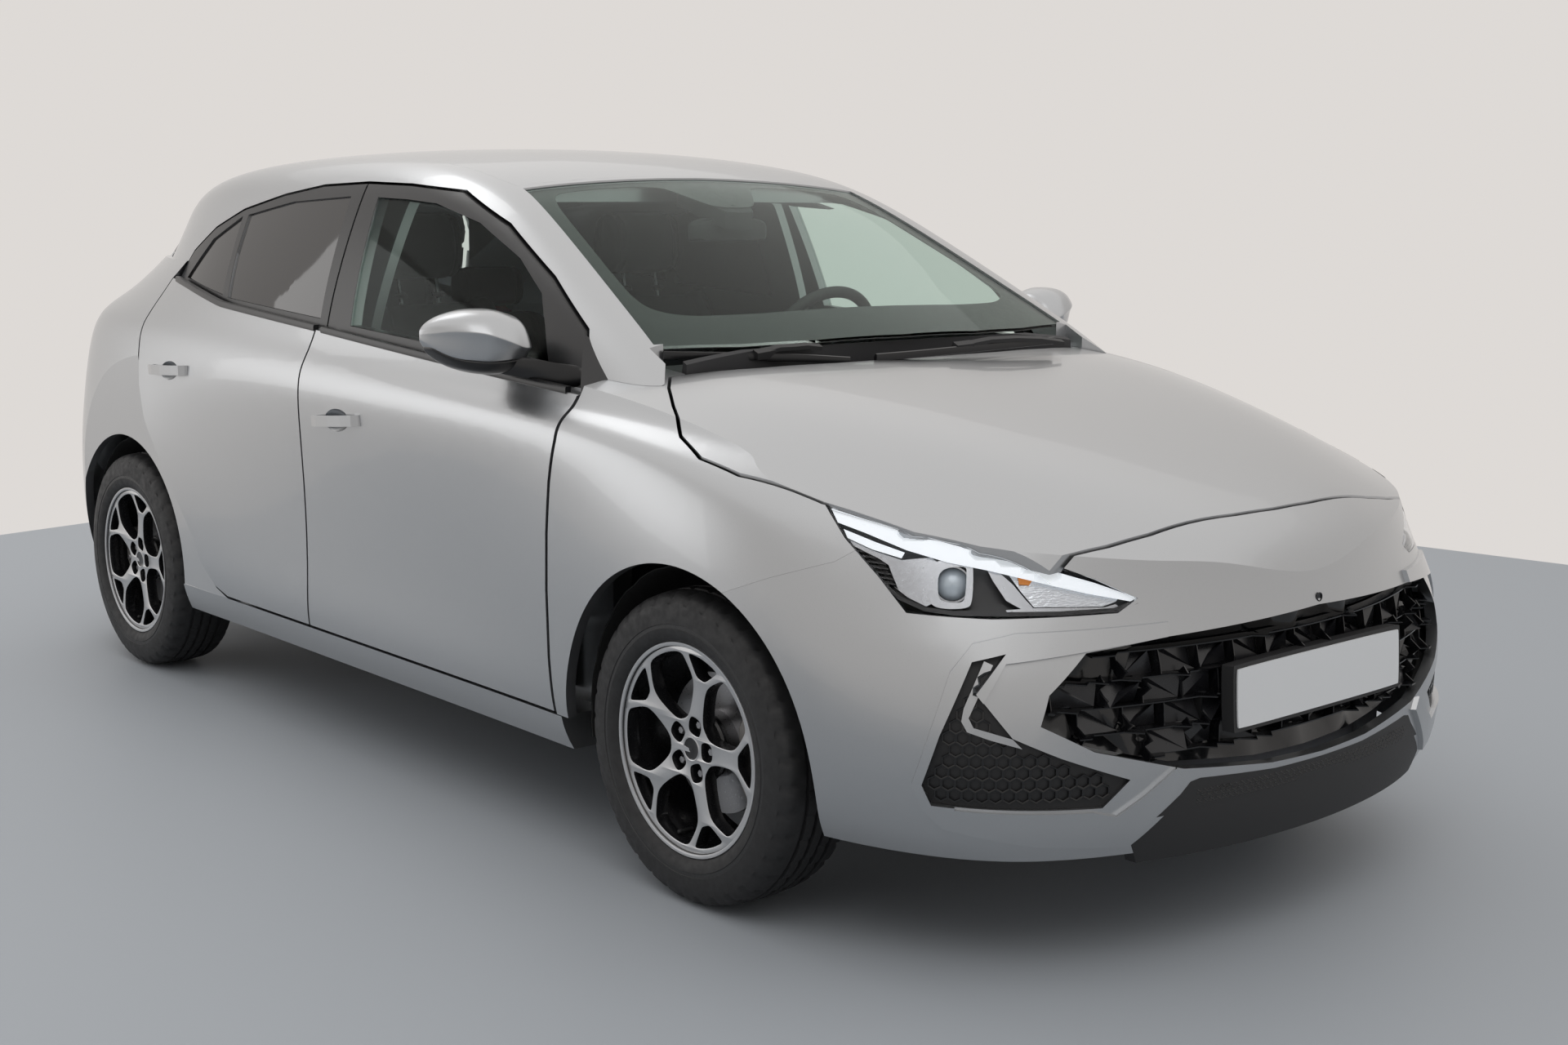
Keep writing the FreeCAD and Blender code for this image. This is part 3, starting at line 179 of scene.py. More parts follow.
def materials():
    """All finishes by name."""
    out = {}

    def add(key, name, color, roughness, metallic=0.0, noise=None, bump=None, cells=None, **values):
        mat = out[key] = material(name, color, roughness, metallic, **values)
        for texture, numbers in ((add_noise, noise), (add_bump, bump), (add_cells, cells)):
            if numbers:
                texture(mat, *numbers)

    add("paint", "silver_paint", (0.44, 0.452, 0.465), 0.32, 0.95, noise=(1400.0, 0.27, 0.37),
        Coat_Weight=0.5, Coat_Roughness=0.04)
    add("black_satin", "satin_black", (0.010, 0.010, 0.011), 0.30, bump=(700.0, 0.05, 0.0002))
    add("gloss_black", "gloss_black", (0.006, 0.006, 0.007), 0.12, noise=(40.0, 0.08, 0.18))
    add("black_plastic", "grained_plastic", (0.016, 0.016, 0.017), 0.55, bump=(1600.0, 0.35, 0.0004))
    add("mesh_black", "intake_mesh", (0.008, 0.008, 0.009), 0.5, bump=(900.0, 0.2, 0.0003))
    add("window_glass", "window_glass", (0.72, 0.82, 0.78), 0.0, noise=(3.0, 0.0, 0.004),
        Transmission_Weight=1.0, IOR=1.12)
    add("dark_glass", "dark_glass", (0.035, 0.032, 0.031), 0.02, noise=(3.0, 0.015, 0.03),
        Specular_IOR_Level=0.7)
    add("lamp_clear", "lamp_clear", (0.96, 0.97, 0.98), 0.0, noise=(5.0, 0.0, 0.003),
        Transmission_Weight=1.0, IOR=1.08)
    add("lamp_red", "lamp_red", (0.36, 0.008, 0.010), 0.10, cells=(160.0, 0.3, 0.0008),
        Coat_Weight=1.0, Coat_Roughness=0.02)
    add("lamp_bright", "tail_light_bar", (0.62, 0.02, 0.02), 0.2, noise=(200.0, 0.15, 0.3),
        Emission_Strength=0.35, Emission_Color=(0.8, 0.03, 0.03, 1))
    add("lens_glass", "projector_lens", (0.55, 0.62, 0.68), 0.03, 0.1, noise=(20.0, 0.02, 0.05),
        Coat_Weight=1.0, Coat_Roughness=0.01)
    add("turn_ribbed", "turn_reflector", (0.62, 0.64, 0.67), 0.18, 0.9, bump=(90.0, 0.8, 0.002, (1, 1, 4)))
    add("grille_dark", "grille_facet", (0.014, 0.014, 0.016), 0.30, noise=(50.0, 0.24, 0.36))
    add("frit", "printed_border", (0.008, 0.008, 0.009), 0.35, noise=(80.0, 0.3, 0.4))
    add("lamp_light", "lamp_light", (0.6, 0.62, 0.65), 0.3, Emission_Strength=0.55,
        Emission_Color=(0.93, 0.97, 1.0, 1))
    add("lamp_amber", "lamp_amber", (0.75, 0.25, 0.03), 0.25, noise=(60.0, 0.2, 0.35))
    add("lamp_chrome", "lamp_chrome", (0.46, 0.47, 0.49), 0.2, 1.0, noise=(120.0, 0.16, 0.28))
    add("lamp_dark", "lamp_dark", (0.02, 0.02, 0.022), 0.35, noise=(90.0, 0.28, 0.42))
    add("tyre", "tyre_rubber", (0.014, 0.014, 0.015), 0.62, noise=(60.0, 0.52, 0.72))
    add("tyre_mark", "tyre_band", (0.020, 0.020, 0.021), 0.5, noise=(200.0, 0.42, 0.58))
    add("alloy", "machined_alloy", (0.50, 0.505, 0.515), 0.32, 0.85, noise=(300.0, 0.28, 0.38),
        Coat_Weight=0.4, Coat_Roughness=0.1)
    add("wheel_black", "wheel_black", (0.010, 0.010, 0.011), 0.22, noise=(150.0, 0.16, 0.3))
    add("trim_silver", "trim_silver", (0.52, 0.53, 0.54), 0.25, 0.85, noise=(700.0, 0.20, 0.30))
    add("cabin", "cabin_plastic", (0.028, 0.028, 0.030), 0.62, bump=(1400.0, 0.45, 0.0005))
    add("cloth", "seat_cloth", (0.030, 0.030, 0.034), 0.92, Sheen_Weight=0.25)
    add_tint(out["cloth"], 900.0, (0.022, 0.022, 0.026), (0.042, 0.042, 0.048))
    add_weave(out["cloth"], 420.0, 0.15, 0.0006)
    add("bolster", "seat_bolster", (0.024, 0.024, 0.026), 0.68, cells=(500.0, 0.12, 0.0004))
    add("steel", "plain_steel", (0.20, 0.20, 0.21), 0.45, 0.8, noise=(25.0, 0.38, 0.55))
    add("disc_steel", "disc_steel", (0.33, 0.33, 0.34), 0.35, 1.0, noise=(220.0, 0.25, 0.45))
    add("caliper", "caliper_grey", (0.22, 0.21, 0.20), 0.5, 0.6, noise=(90.0, 0.4, 0.62))
    add("cast", "cast_iron", (0.10, 0.10, 0.10), 0.6, 0.7, bump=(500.0, 0.4, 0.0005))
    add("under_paint", "underbody", (0.03, 0.03, 0.032), 0.7, noise=(20.0, 0.6, 0.8))
    add("liner", "arch_liner", (0.012, 0.012, 0.012), 0.85, bump=(300.0, 0.6, 0.001))
    add("plate", "blank_plate", (0.92, 0.92, 0.92), 0.35, noise=(30.0, 0.3, 0.4))
    add("mirror_face", "mirror_face", (0.75, 0.77, 0.79), 0.02, 1.0, noise=(4.0, 0.01, 0.03))
    return out


def dress():
    """Finishes of the CAD nodes that stay; a name takes in the nodes that add to it."""
    table = {
        "paint": ("bonnet", "front_fender", "front_bumper", "side_frame", "roof_panel", "door_front",
                  "door_rear", "tailgate", "rear_bumper", "mirror"),
        "gloss_black": ("grille",),
        "mesh_black": ("side_intakes",),
        "black_plastic": ("front_valance",),
        "window_glass": ("windscreen", "glass_front"),
        "dark_glass": ("glass_rear", "tailgate_glass"),
        "lamp_clear": ("headlamp",),
        "lamp_red": ("tail_lamps",),
        "tyre": ("tyre_front", "tyre_rear"),
        "alloy": ("wheel_front", "wheel_rear"),
        "cabin": ("dashboard", "steering_wheel", "bulkhead"),
        "cloth": ("front_seats", "rear_seat"),
        "steel": ("rear_axle", "exhaust", "front_subframe"),
        "cast": ("knuckle", "engine_block"),
        "under_paint": ("floor_pan",),
    }
    for key, names in table.items():
        for node, obj in nodes.items():
            if any(node == n or node.startswith(n + "_") for n in names):
                for slot in obj.material_slots:
                    slot.material = finish[key]


# Mesh helpers; lengths are in millimetres until a piece is made

def mesh_of(name, shape):
    """Mesh of verts in millimetres and faces."""
    mesh = bpy.data.meshes.new(name)
    mesh.from_pydata([Vector(v)*MM for v in shape[0]], [], shape[1])
    return mesh


def piece(name, shape, mats, body, marks=None, smooth=40, subdivide=0, solid=0.0):
    """Piece that rides on a body: marks are the material numbers of the faces, smooth is the angle in
    degrees up to which edges look round, solid the thickness of a sheet."""
    mesh = mesh_of(name, shape)
    mesh.update()
    obj = linked(name, mesh)
    for mat in mats:
        mesh.materials.append(finish[mat])
    if marks:
        for face, index in zip(mesh.polygons, marks):
            face.material_index = index
    return settle(obj, body, smooth, subdivide, solid)


def rounded(mesh, degrees):
    """Smooth shading over the edges that are blunter than an angle."""
    mesh.polygons.foreach_set("use_smooth", [True]*len(mesh.polygons))
    mesh.set_sharp_from_angle(angle=math.radians(degrees))


def settle(obj, body, smooth=40, subdivide=0, solid=0.0):
    """Closes up, smooths and thickens a mesh object, then lets it ride."""
    work = bmesh.new()
    work.from_mesh(obj.data)
    bmesh.ops.remove_doubles(work, verts=work.verts, dist=2e-6)
    bmesh.ops.dissolve_degenerate(work, edges=work.edges, dist=1e-7)
    bmesh.ops.recalc_face_normals(work, faces=work.faces)
    work.to_mesh(obj.data)
    work.free()
    if solid:
        bpy.context.view_layer.objects.active = obj
        mod = obj.modifiers.new("sheet", "SOLIDIFY")
        mod.thickness, mod.offset = abs(solid)*MM, -1 if solid > 0 else 1
    if subdivide:
        mod = obj.modifiers.new("round", "SUBSURF")
        mod.levels = mod.render_levels = subdivide
    bake_modifiers(obj)
    if smooth:
        rounded(obj.data, smooth)
    obj.data.update()
    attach(obj, body)
    return obj


def bake_modifiers(obj):
    """The mesh as the modifiers leave it, with no modifier left."""
    if not obj.modifiers:
        return
    bpy.context.view_layer.update()
    done = bpy.data.meshes.new_from_object(obj.evaluated_get(bpy.context.evaluated_depsgraph_get()))
    old = obj.data
    obj.modifiers.clear()
    obj.data = done
    bpy.data.meshes.remove(old)


def object_of(work, name, mat):
    """Object of one finish from an edited mesh, which is freed."""
    mesh = bpy.data.meshes.new(name)
    work.to_mesh(mesh)
    work.free()
    mesh.materials.clear()
    mesh.materials.append(finish[mat])
    mesh.polygons.foreach_set("material_index", [0]*len(mesh.polygons))
    return linked(name, mesh)


def chaikin(points, times=3, closed=True):
    """Corner cutting: the outline with its corners rounded."""
    for _ in range(times):
        out = []
        count = len(points)
        for i in range(count if closed else count - 1):
            a, b = Vector(points[i]), Vector(points[(i + 1) % count])
            out += [a.lerp(b, 0.25), a.lerp(b, 0.75)]
        if not closed:
            out = [Vector(points[0])] + out[1:-1] + [Vector(points[-1])]
        points = out
    return [tuple(p) for p in points]


def polar(points, turn=0):
    """(angle in degrees, radius) pairs, turned, as plane points."""
    return [(r*math.cos(math.radians(a + turn)), r*math.sin(math.radians(a + turn))) for a, r in points]


def both_sides(half, axis=0):
    """A half outline and its mirror image; axis is the coordinate that changes its sign."""
    first, second = (-1, 1) if axis == 0 else (1, -1)
    return half + [(a*first, b*second) for a, b in reversed(half) if (a, b)[axis] > 0]


def shifted(shape, x=0, y=0, z=0):
    """The shape moved along its own axes."""
    return [(a + x, b + y, c + z) for a, b, c in shape[0]], shape[1]


def turned(shape, centre, across, up, out):
    """The shape with its own axes along three others."""
    return [centre + across*a + up*b + out*c for a, b, c in shape[0]], shape[1]


def plate_with_holes(outlines, thickness, bevel=1.2, resolution=1):
    """Verts and faces of a flat plate: the first outline is its rim, the others its holes."""
    data = bpy.data.curves.new("outline", "CURVE")
    data.dimensions, data.fill_mode = "2D", "BOTH"
    data.extrude, data.bevel_depth, data.bevel_resolution = (thickness/2 - bevel)*MM, bevel*MM, resolution
    for outline in outlines:
        line = data.splines.new("POLY")
        line.points.add(len(outline) - 1)
        for point, (a, b) in zip(line.points, outline):
            point.co = (a*MM, b*MM, 0, 1)
        line.use_cyclic_u = True
    obj = linked("outline", data)
    bpy.context.view_layer.update()
    mesh = bpy.data.meshes.new_from_object(obj)
    verts = [tuple(v.co/MM) for v in mesh.vertices]
    faces = [tuple(p.vertices) for p in mesh.polygons]
    bpy.data.objects.remove(obj)
    bpy.data.curves.remove(data)
    bpy.data.meshes.remove(mesh)
    return verts, faces


def lathe(profile, segments, closed=False):
    """Verts and faces of a profile of (along, radius) turned round the local Z axis."""
    verts, faces = [], []
    count = len(profile)
    for i in range(segments):
        turn = 2*math.pi*i/segments
        for along, radius in profile:
            verts.append((radius*math.cos(turn), radius*math.sin(turn), along))
    rows = count if closed else count - 1
    for i in range(segments):
        a, b = i*count, (i + 1) % segments*count
        for j in range(rows):
            k = (j + 1) % count
            faces.append((a + j, b + j, b + k, a + k))
    return verts, faces


def loft(sections):
    """Verts and faces through sections of equally many points, with both ends closed."""
    count = len(sections[0])
    verts = [tuple(p) for section in sections for p in section]
    faces = []
    for i in range(len(sections) - 1):
        for j in range(count):
            k = (j + 1) % count
            faces.append((i*count + j, i*count + k, (i + 1)*count + k, (i + 1)*count + j))
    last = (len(sections) - 1)*count
    faces += [tuple(range(count)), tuple(last + j for j in reversed(range(count)))]
    return verts, faces


def joined(*shapes):
    """Several (verts, faces) as one, with the index of the shape for each face."""
    verts, faces, owner = [], [], []
    for index, (v, f) in enumerate(shapes):
        base = len(verts)
        verts += list(v)
        faces += [tuple(i + base for i in face) for face in f]
        owner += [index]*len(f)
    return verts, faces, owner


def sweep(points, section, outward):
    """A section of (across, out) pairs carried along points; out stays as near outward as it can."""
    points = [Vector(p) for p in points]
    rings = []
    for i, point in enumerate(points):
        before, after = points[max(i - 1, 0)], points[min(i + 1, len(points) - 1)]
        along = (after - before).normalized()
        out = Vector(outward)
        out = (out - along*out.dot(along)).normalized()
        across = along.cross(out)
        rings.append([tuple(point + across*a + out*b) for a, b in section])
    return loft(rings)


def tree_of(*names):
    """Search tree over the meshes of CAD nodes."""
    verts, faces = [], []
    for name in names:
        mesh = nodes[name].data
        base = len(verts)
        verts += [v.co.copy() for v in mesh.vertices]
        faces += [tuple(i + base for i in p.vertices) for p in mesh.polygons]
    return BVHTree.FromPolygons(verts, faces)


def cast(tree, origin, direction):
    """First hit from origin (mm) as (point in mm, outward normal), or None."""
    point, normal = tree.ray_cast(Vector(origin)*MM, Vector(direction).normalized())[:2]
    if point is None:
        return None
    if normal.dot(Vector(direction)) > 0:
        normal = -normal
    return point/MM, normal


def skin_place(tree, start, middle, narrow, flat):
    """Placing functions at(depth) on the faces that a ray along x from start meets, for a half width, a
    height and a further depth. A ray that misses goes again, drawn in towards the height middle."""
    way = -1 if start > 0 else 1

    def at(depth):
        def put(y, z, more):
            hit = cast(tree, (start, y, z), (way, 0, 0))
            if hit is None:
                hit = cast(tree, (start, y*narrow, middle + (z - middle)*flat), (way, 0, 0))
            return (hit[0].x + way*(depth + more), y, z)
        return put
    return at


# Wheels

TRACK_HALF, RADIUS = 762, 310
AXLES = {"front": 1203, "rear": -1367}
SPOKES, SPOKE_TURN = 5, 75
SPOKE_STEP = 360/SPOKES
CUT_FACE = TRACK_HALF + 58


def wheel_place(shape, x, side):
    """From the wheel's own plane (forward, up, outward) to the car."""
    return [(x + a, side*(TRACK_HALF + c), RADIUS + b) for a, b, c in shape[0]], shape[1]


def dished(shape, depth=14, middle=200):
    """The shape pushed in towards its middle."""
    verts = [(a, b, c - depth*max(0.0, 1 - math.hypot(a, b)/middle)) for a, b, c in shape[0]]
    return verts, shape[1]


def alloy_face():
    """Five spokes that fork towards the rim, with pockets at their feet and between their arms."""
    rim = [(203*math.cos(math.radians(t*3)), 203*math.sin(math.radians(t*3))) for t in range(120)]
    window = both_sides([(0, 59), (13, 62), (21, 74), (26, 96), (28.6, 128), (26.5, 150), (19, 180),
                         (16.3, 190), (11, 193.4), (0, 194)])
    small = both_sides([(0, 148), (4.5, 149), (7.5, 157), (13.6, 186), (13.4, 191), (10.5, 193.4),
                        (0, 194)])
    pocket = [(-22, 31), (22, 31), (28, 40), (21, 58), (11, 69), (-11, 69), (-21, 58), (-28, 40)]
    outlines = [rim]
    for number in range(SPOKES):
        middle = SPOKE_TURN + SPOKE_STEP*number
        for hole, turn in ((window, middle + SPOKE_STEP/2), (small, middle), (pocket, middle)):
            outlines.append(chaikin(polar(hole, turn), 2))
    return plate_with_holes(outlines, 30, 1.6)


def cut_marks(shape, side):
    """0, cut metal, for the outer faces of the spokes and 1, black, for the rest."""
    probe = bpy.data.meshes.new("probe")
    probe.from_pydata(shape[0], [], shape[1])
    probe.update()
    marks = [0 if p.normal.y*side > 0.8 and abs(p.center.y) > CUT_FACE else 1 for p in probe.polygons]
    bpy.data.meshes.remove(probe)
    return marks


def wheels():
    """Wheels with hub, cap, nuts and valve, and the brakes and tyres that go with them."""
    face = dished(shifted(alloy_face(), z=66))
    barrel = lathe([(-84, 208), (-84, 200), (-60, 196), (-30, 190), (20, 190), (60, 194), (80, 200),
                    (83, 203), (86, 203), (87, 206), (87, 210), (84, 212), (80, 212), (76, 207)], 96)
    hub = joined(lathe([(-18, 60), (45, 60), (52, 30), (52, 0.5)], 48),
                 lathe([(40, 70), (44, 66), (44, 0.5)], 48))
    cap = lathe([(66, 26), (69, 25.5), (70.5, 23.5), (69.6, 21.5), (69.8, 10), (70, 0.5)], 48)
    nut = lathe([(46, 10), (58, 9.5), (62, 7), (62, 0.5)], 6)
    spots = polar([(SPOKE_TURN + SPOKE_STEP*number, 50) for number in range(SPOKES)])
    lugs = joined(*[shifted(nut, a, b) for a, b in spots])
    disc = lathe([(-16, 66), (-16, 139), (-9, 139), (-9, 136), (-5, 136), (-5, 139), (2, 139), (2, 66),
                  (24, 64), (24, 50)], 96)
    valve = lathe([(0, 3.5), (24, 3.5), (26, 4.5), (34, 4.5), (36, 3), (36, 0.5)], 12)
    spin = math.radians(SPOKE_TURN + 2.5*SPOKE_STEP)
    valve = shifted(valve, 186*math.cos(spin), 186*math.sin(spin), 28)
    lip_marks = [0 if f[0] % 14 in (7, 8, 9, 10, 11) else 1 for f in barrel[1]]
    cap_marks = [0 if f[0] % 6 < 3 else 1 for f in cap[1]]

    def fit(part, shape, mats, marks=None, smooth=40):
        return piece("%s_%s" % (node, part), wheel_place(shape, x, side), mats, node, marks, smooth=smooth)

    for end, x in AXLES.items():
        for name, side in SIDES:
            node = "wheel_%s_%s" % (end, name)
            marks = cut_marks(wheel_place(face, x, side), side)
            alloy = fit("alloy", face, ["alloy", "wheel_black"], marks, 30)
            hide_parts(node)
            fit("barrel", barrel, ["alloy", "wheel_black"], lip_marks)
            fit("hub", hub, ["wheel_black"])
            fit("cap", cap, ["alloy", "gloss_black"], cap_marks)
            fit("lugs", lugs, ["disc_steel"], smooth=20)
            fit("disc", disc, ["disc_steel"])
            brake_caliper("knuckle_" + name if end == "front" else "root", end, name, x, side)
            tyre(end, name, x, side)
            fit("valve", valve, ["black_plastic"])


def brake_caliper(body, end, name, x, side):
    """Grey caliper ahead of the hub in front, behind it at the rear, with carrier and two sleeve bolts."""
    middle, reach, outer, inner = (2, 33, 172, 112) if end == "front" else (175, 24, 164, 116)
    outline = [(-reach, outer - 14), (-reach + 7, outer), (-8, outer + 3), (8, outer + 3), (reach - 7, outer),
               (reach, outer - 14), (reach - 6, inner + 6), (12, inner), (0, inner + 7), (-12, inner),
               (-reach + 6, inner + 6)]
    bridge = [(-reach + 4, outer), (reach - 4, outer), (reach - 6, outer - 22), (-reach + 6, outer - 22)]
    parts = []
    for points, rounds, thickness, bevel, steps, along in (
            (outline, 2, 30, 4, 2, 22), (outline, 1, 26, 3, 1, -34), (bridge, 1, 60, 3, 1, -4)):
        plate = plate_with_holes([chaikin(polar(points, middle), rounds)], thickness, bevel, steps)
        parts.append(shifted(plate, z=along))
    bolt = lathe([(14, 9), (40, 9), (42, 7.5), (42, 0.5)], 18)
    spots = polar([(-reach + 12, outer - 16), (reach - 12, outer - 16)], middle)
    parts += [shifted(bolt, a, b) for a, b in spots]
    shape = joined(*parts)
    piece("caliper_%s_%s" % (end, name), wheel_place(shape, x, side), ["caliper", "disc_steel"], body,
          [1 if part > 2 else 0 for part in shape[2]], smooth=35)


def tyre(end, name, x, side):
    """Tyre with four grooves round it, cross cuts in the shoulder blocks and ribs on the wall."""
    node = "tyre_%s_%s" % (end, name)
    half = [(0, 309.6), (5, 309.6), (9, 309.5), (10, 302), (17, 302), (18, 309.3), (27, 309), (37, 308.4),
            (38, 301.5), (46, 301.3), (47, 307.6), (58, 306.6), (70, 304.6), (79, 301), (85, 295.5),
            (89.5, 287), (91.4, 283), (92.6, 276), (95, 268), (96.2, 255), (96.8, 246), (95.4, 245.2),
            (95.6, 238), (96.8, 237), (95.4, 228), (91, 218), (87.5, 213.5), (84, 211.5), (78, 210.2)]
    profile = [(-a, r) for a, r in reversed(half[1:])] + half
    count, zero = len(profile), len(half) - 1
    verts, faces = lathe(profile, 216)
    cut = []
    for number, (a, b, c) in enumerate(verts):
        ring, place = divmod(number, count)
        reach = abs(place - zero)
        drop = 0.0
        if 11 <= reach <= 15 and (ring + (1 if reach > 12 else 0)) % 6 == 0:
            drop = 5.0
        if 5 <= reach <= 7 and (ring + 3*(place > zero)) % 6 == 1:
            drop = 3.5
        if 0 < reach <= 2 and ring % 12 == 4:
            drop = 2.5
        scale = 1 - drop/math.hypot(a, b)
        cut.append((a*scale, b*scale, c))
    marks = [1 if abs(f[0] % count - zero) in (20, 21) else 0 for f in faces]
    rubber = piece(node + "_rubber", wheel_place((cut, faces), x, side), ["tyre", "tyre_mark"],
                   "wheel_%s_%s" % (end, name), marks, smooth=32)
    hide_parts(node)


# Greenhouse trim

# (x, z) points of the lower edge of the side windows; the black frames start BELT_GAP above it and
# stand out from the door by SKIN
BELT = ((-1400, 1128), (-1250, 1121), (-1107, 1104), (-841, 1066), (-261, 1031), (804, 960), (1000, 950))
BELT_GAP, SKIN = 3, 0.7


def belt_height(x):
    """Height of the lower edge of the side windows."""
    for (x0, z0), (x1, z1) in zip(BELT, BELT[1:]):
        if x0 <= x <= x1:
            return z0 + (z1 - z0)*(x - x0)/(x1 - x0)
    return BELT[0][1] if x < BELT[0][0] else BELT[-1][1]


def window_surround(node, body, name):
    """Black skin over the part of a door above its belt."""
    work = bmesh.new()
    work.from_mesh(nodes[node].data)
    for x, _ in BELT[1:-1]:
        bmesh.ops.bisect_plane(work, geom=work.verts[:] + work.edges[:] + work.faces[:],
                               plane_co=(x*MM, 0, 0), plane_no=(1, 0, 0))
    for (x0, z0), (x1, z1) in zip(BELT, BELT[1:]):
        across = Vector((-(z1 - z0), 0, x1 - x0)).normalized()
        part = [f for f in work.faces if x0*MM - 1e-5 <= f.calc_center_median().x <= x1*MM + 1e-5]
        geom = set(part)
        for f in part:
            geom.update(f.verts)
            geom.update(f.edges)
        bmesh.ops.bisect_plane(work, geom=list(geom), plane_co=(x0*MM, 0, (z0 + BELT_GAP)*MM),
                               plane_no=across)
    gone = []
    for face in work.faces:
        middle = face.calc_center_median()
        if middle.z < (belt_height(middle.x/MM) + BELT_GAP)*MM:
            gone.append(face)
    bmesh.ops.delete(work, geom=gone, context="FACES")
    bmesh.ops.recalc_face_normals(work, faces=work.faces)
    for v in work.verts:
        v.co += v.normal*SKIN*MM
    obj = object_of(work, name, "black_satin")
    rounded(obj.data, 35)
    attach(obj, body)


def belt_strips():
    """Black strips along the belt of each door."""
    section = [(-8, -8), (-8, 5), (-4, 7), (6, 6.5), (9, 3), (9, -8)]
    steps = 24
    for name, side in SIDES:
        for end, first, last in (("front", -248, 770), ("rear", -1215, -284)):
            tree = tree_of("door_%s_%s" % (end, name))
            points = []
            for i in range(steps + 1):
                x = first + (last - first)*i/steps
                z = belt_height(x)
                hit = cast(tree, (x, side*1300, z - 4), (0, -side, 0))
                if hit is not None:
                    points.append((x, hit[0].y - side*5, z + 4))
            piece("belt_strip_%s_%s" % (end, name), sweep(points, section, (0, side, 0)),
                  ["black_satin"], "%s_door_%s" % (end, name), smooth=30)


def greenhouse():
    """Black window frames and belt strips of the four doors."""
    for name, _ in SIDES:
        for end in ("front", "rear"):
            window_surround("door_%s_%s" % (end, name), "%s_door_%s" % (end, name),
                            "window_frame_%s_%s" % (end, name))
    belt_strips()


# Placing by the camera's lines of sight: the photographed right side first, the left as its mirror image

def sight(px, py):
    """Direction from the camera's eye through a pixel of the photograph."""
    focal = LENS/SENSOR*PHOTO_WIDTH
    turn = scene.camera.matrix_world.to_3x3()
    return (turn @ Vector(((px - PHOTO_WIDTH/2)/focal, -(py - PHOTO_HEIGHT/2)/focal, -1))).normalized()


def seen(tree, px, py, depth=0.0, home=None):
    """Point (mm) on the tree behind a pixel, moved on by depth along the line of sight.
    Just outside the tree, the distance is that of the nearest hit on the way to the pixel home."""
    eye = scene.camera.matrix_world.translation/MM
    along = sight(px, py)
    home = home or (px, py)
    for step in range(26):
        part = 0.02*step
        hit = cast(tree, eye, sight(px + (home[0] - px)*part, py + (home[1] - py)*part))
        if hit is not None:
            return eye + along*((hit[0] - eye).length + depth)
    return None


def pair(name, shape, mats, bodies=ROOTS, **options):
    """A right piece and its left mirror image; bodies are their (right, left) carriers."""
    left = [(v[0], -v[1], v[2]) for v in shape[0]]
    made = []
    for (side, sign), body in zip(SIDES, bodies):
        verts = shape[0] if sign < 0 else left
        made.append(piece("%s_%s" % (name, side), (verts, shape[1]), mats, body, **options))
    return made


def inside(outline, x, y):
    """True for a point within a closed outline."""
    odd = False
    for (x0, y0), (x1, y1) in zip(outline, outline[1:] + outline[:1]):
        if (y0 > y) != (y1 > y) and x < x0 + (y - y0)*(x1 - x0)/(y1 - y0):
            odd = not odd
    return odd


def divided(outline, spacing):
    """The closed outline with further points on its long edges."""
    out = []
    for (x0, y0), (x1, y1) in zip(outline, outline[1:] + outline[:1]):
        steps = max(1, round(math.hypot(x1 - x0, y1 - y0)/spacing))
        out += [(x0 + (x1 - x0)*i/steps, y0 + (y1 - y0)*i/steps) for i in range(steps)]
    return out


def filled(outlines, spacing):
    """Plane triangles that fill the first outline less the others, with points inside it."""
    rims = [divided(o, spacing) for o in outlines]
    points, edges = [], []
    for rim in rims:
        base = len(points)
        points += rim
        edges += [(base + i, base + (i + 1) % len(rim)) for i in range(len(rim))]
    xs, ys = [p[0] for p in rims[0]], [p[1] for p in rims[0]]
    for i in range(1, int((max(xs) - min(xs))/spacing) + 1):
        for j in range(1, int((max(ys) - min(ys))/spacing) + 1):
            x, y = min(xs) + i*spacing, min(ys) + j*spacing
            if inside(rims[0], x, y) and not any(inside(r, x, y) for r in rims[1:]):
                if min(math.hypot(x - a, y - b) for a, b in points[:len(edges)]) > spacing*0.6:
                    points.append((x, y))
    made = delaunay_2d_cdt([Vector(p) for p in points], edges, [], 0, 1e-4)
    places = [tuple(p) for p in made[0]]
    faces = []
    for face in made[2]:
        x = sum(places[i][0] for i in face)/len(face)
        y = sum(places[i][1] for i in face)/len(face)
        if inside(rims[0], x, y) and not any(inside(r, x, y) for r in rims[1:]):
            faces.append(tuple(face))
    return places, faces


def thick_patch(outlines, place, thickness, spacing=8):
    """Solid patch: plane outlines put in space by place(a, b, depth) at depth 0 and at thickness."""
    flat, faces = filled(outlines, spacing)
    front = [place(a, b, 0) for a, b in flat]
    behind = [place(a, b, thickness) for a, b in flat]
    count = len(flat)
    used = {}
    for face in faces:
        for i in range(3):
            edge = (face[i], face[(i + 1) % 3])
            used[tuple(sorted(edge))] = used.get(tuple(sorted(edge)), []) + [edge]
    walls = [edges[0] for edges in used.values() if len(edges) == 1]
    out = [tuple(f) for f in faces] + [tuple(i + count for i in reversed(f)) for f in faces]
    out += [(b, a, a + count, b + count) for a, b in walls]
    return front + behind, out


LAMP_EDGE = [(1008, 613), (1030, 620), (1100, 643), (1180, 664), (1270, 687), (1340, 709), (1403, 731),
             (1396, 740), (1372, 751), (1300, 756), (1230, 757), (1170, 756), (1130, 750), (1098, 735),
             (1070, 706), (1042, 670), (1022, 640)]
LAMP_MIDDLE = (1180, 705)


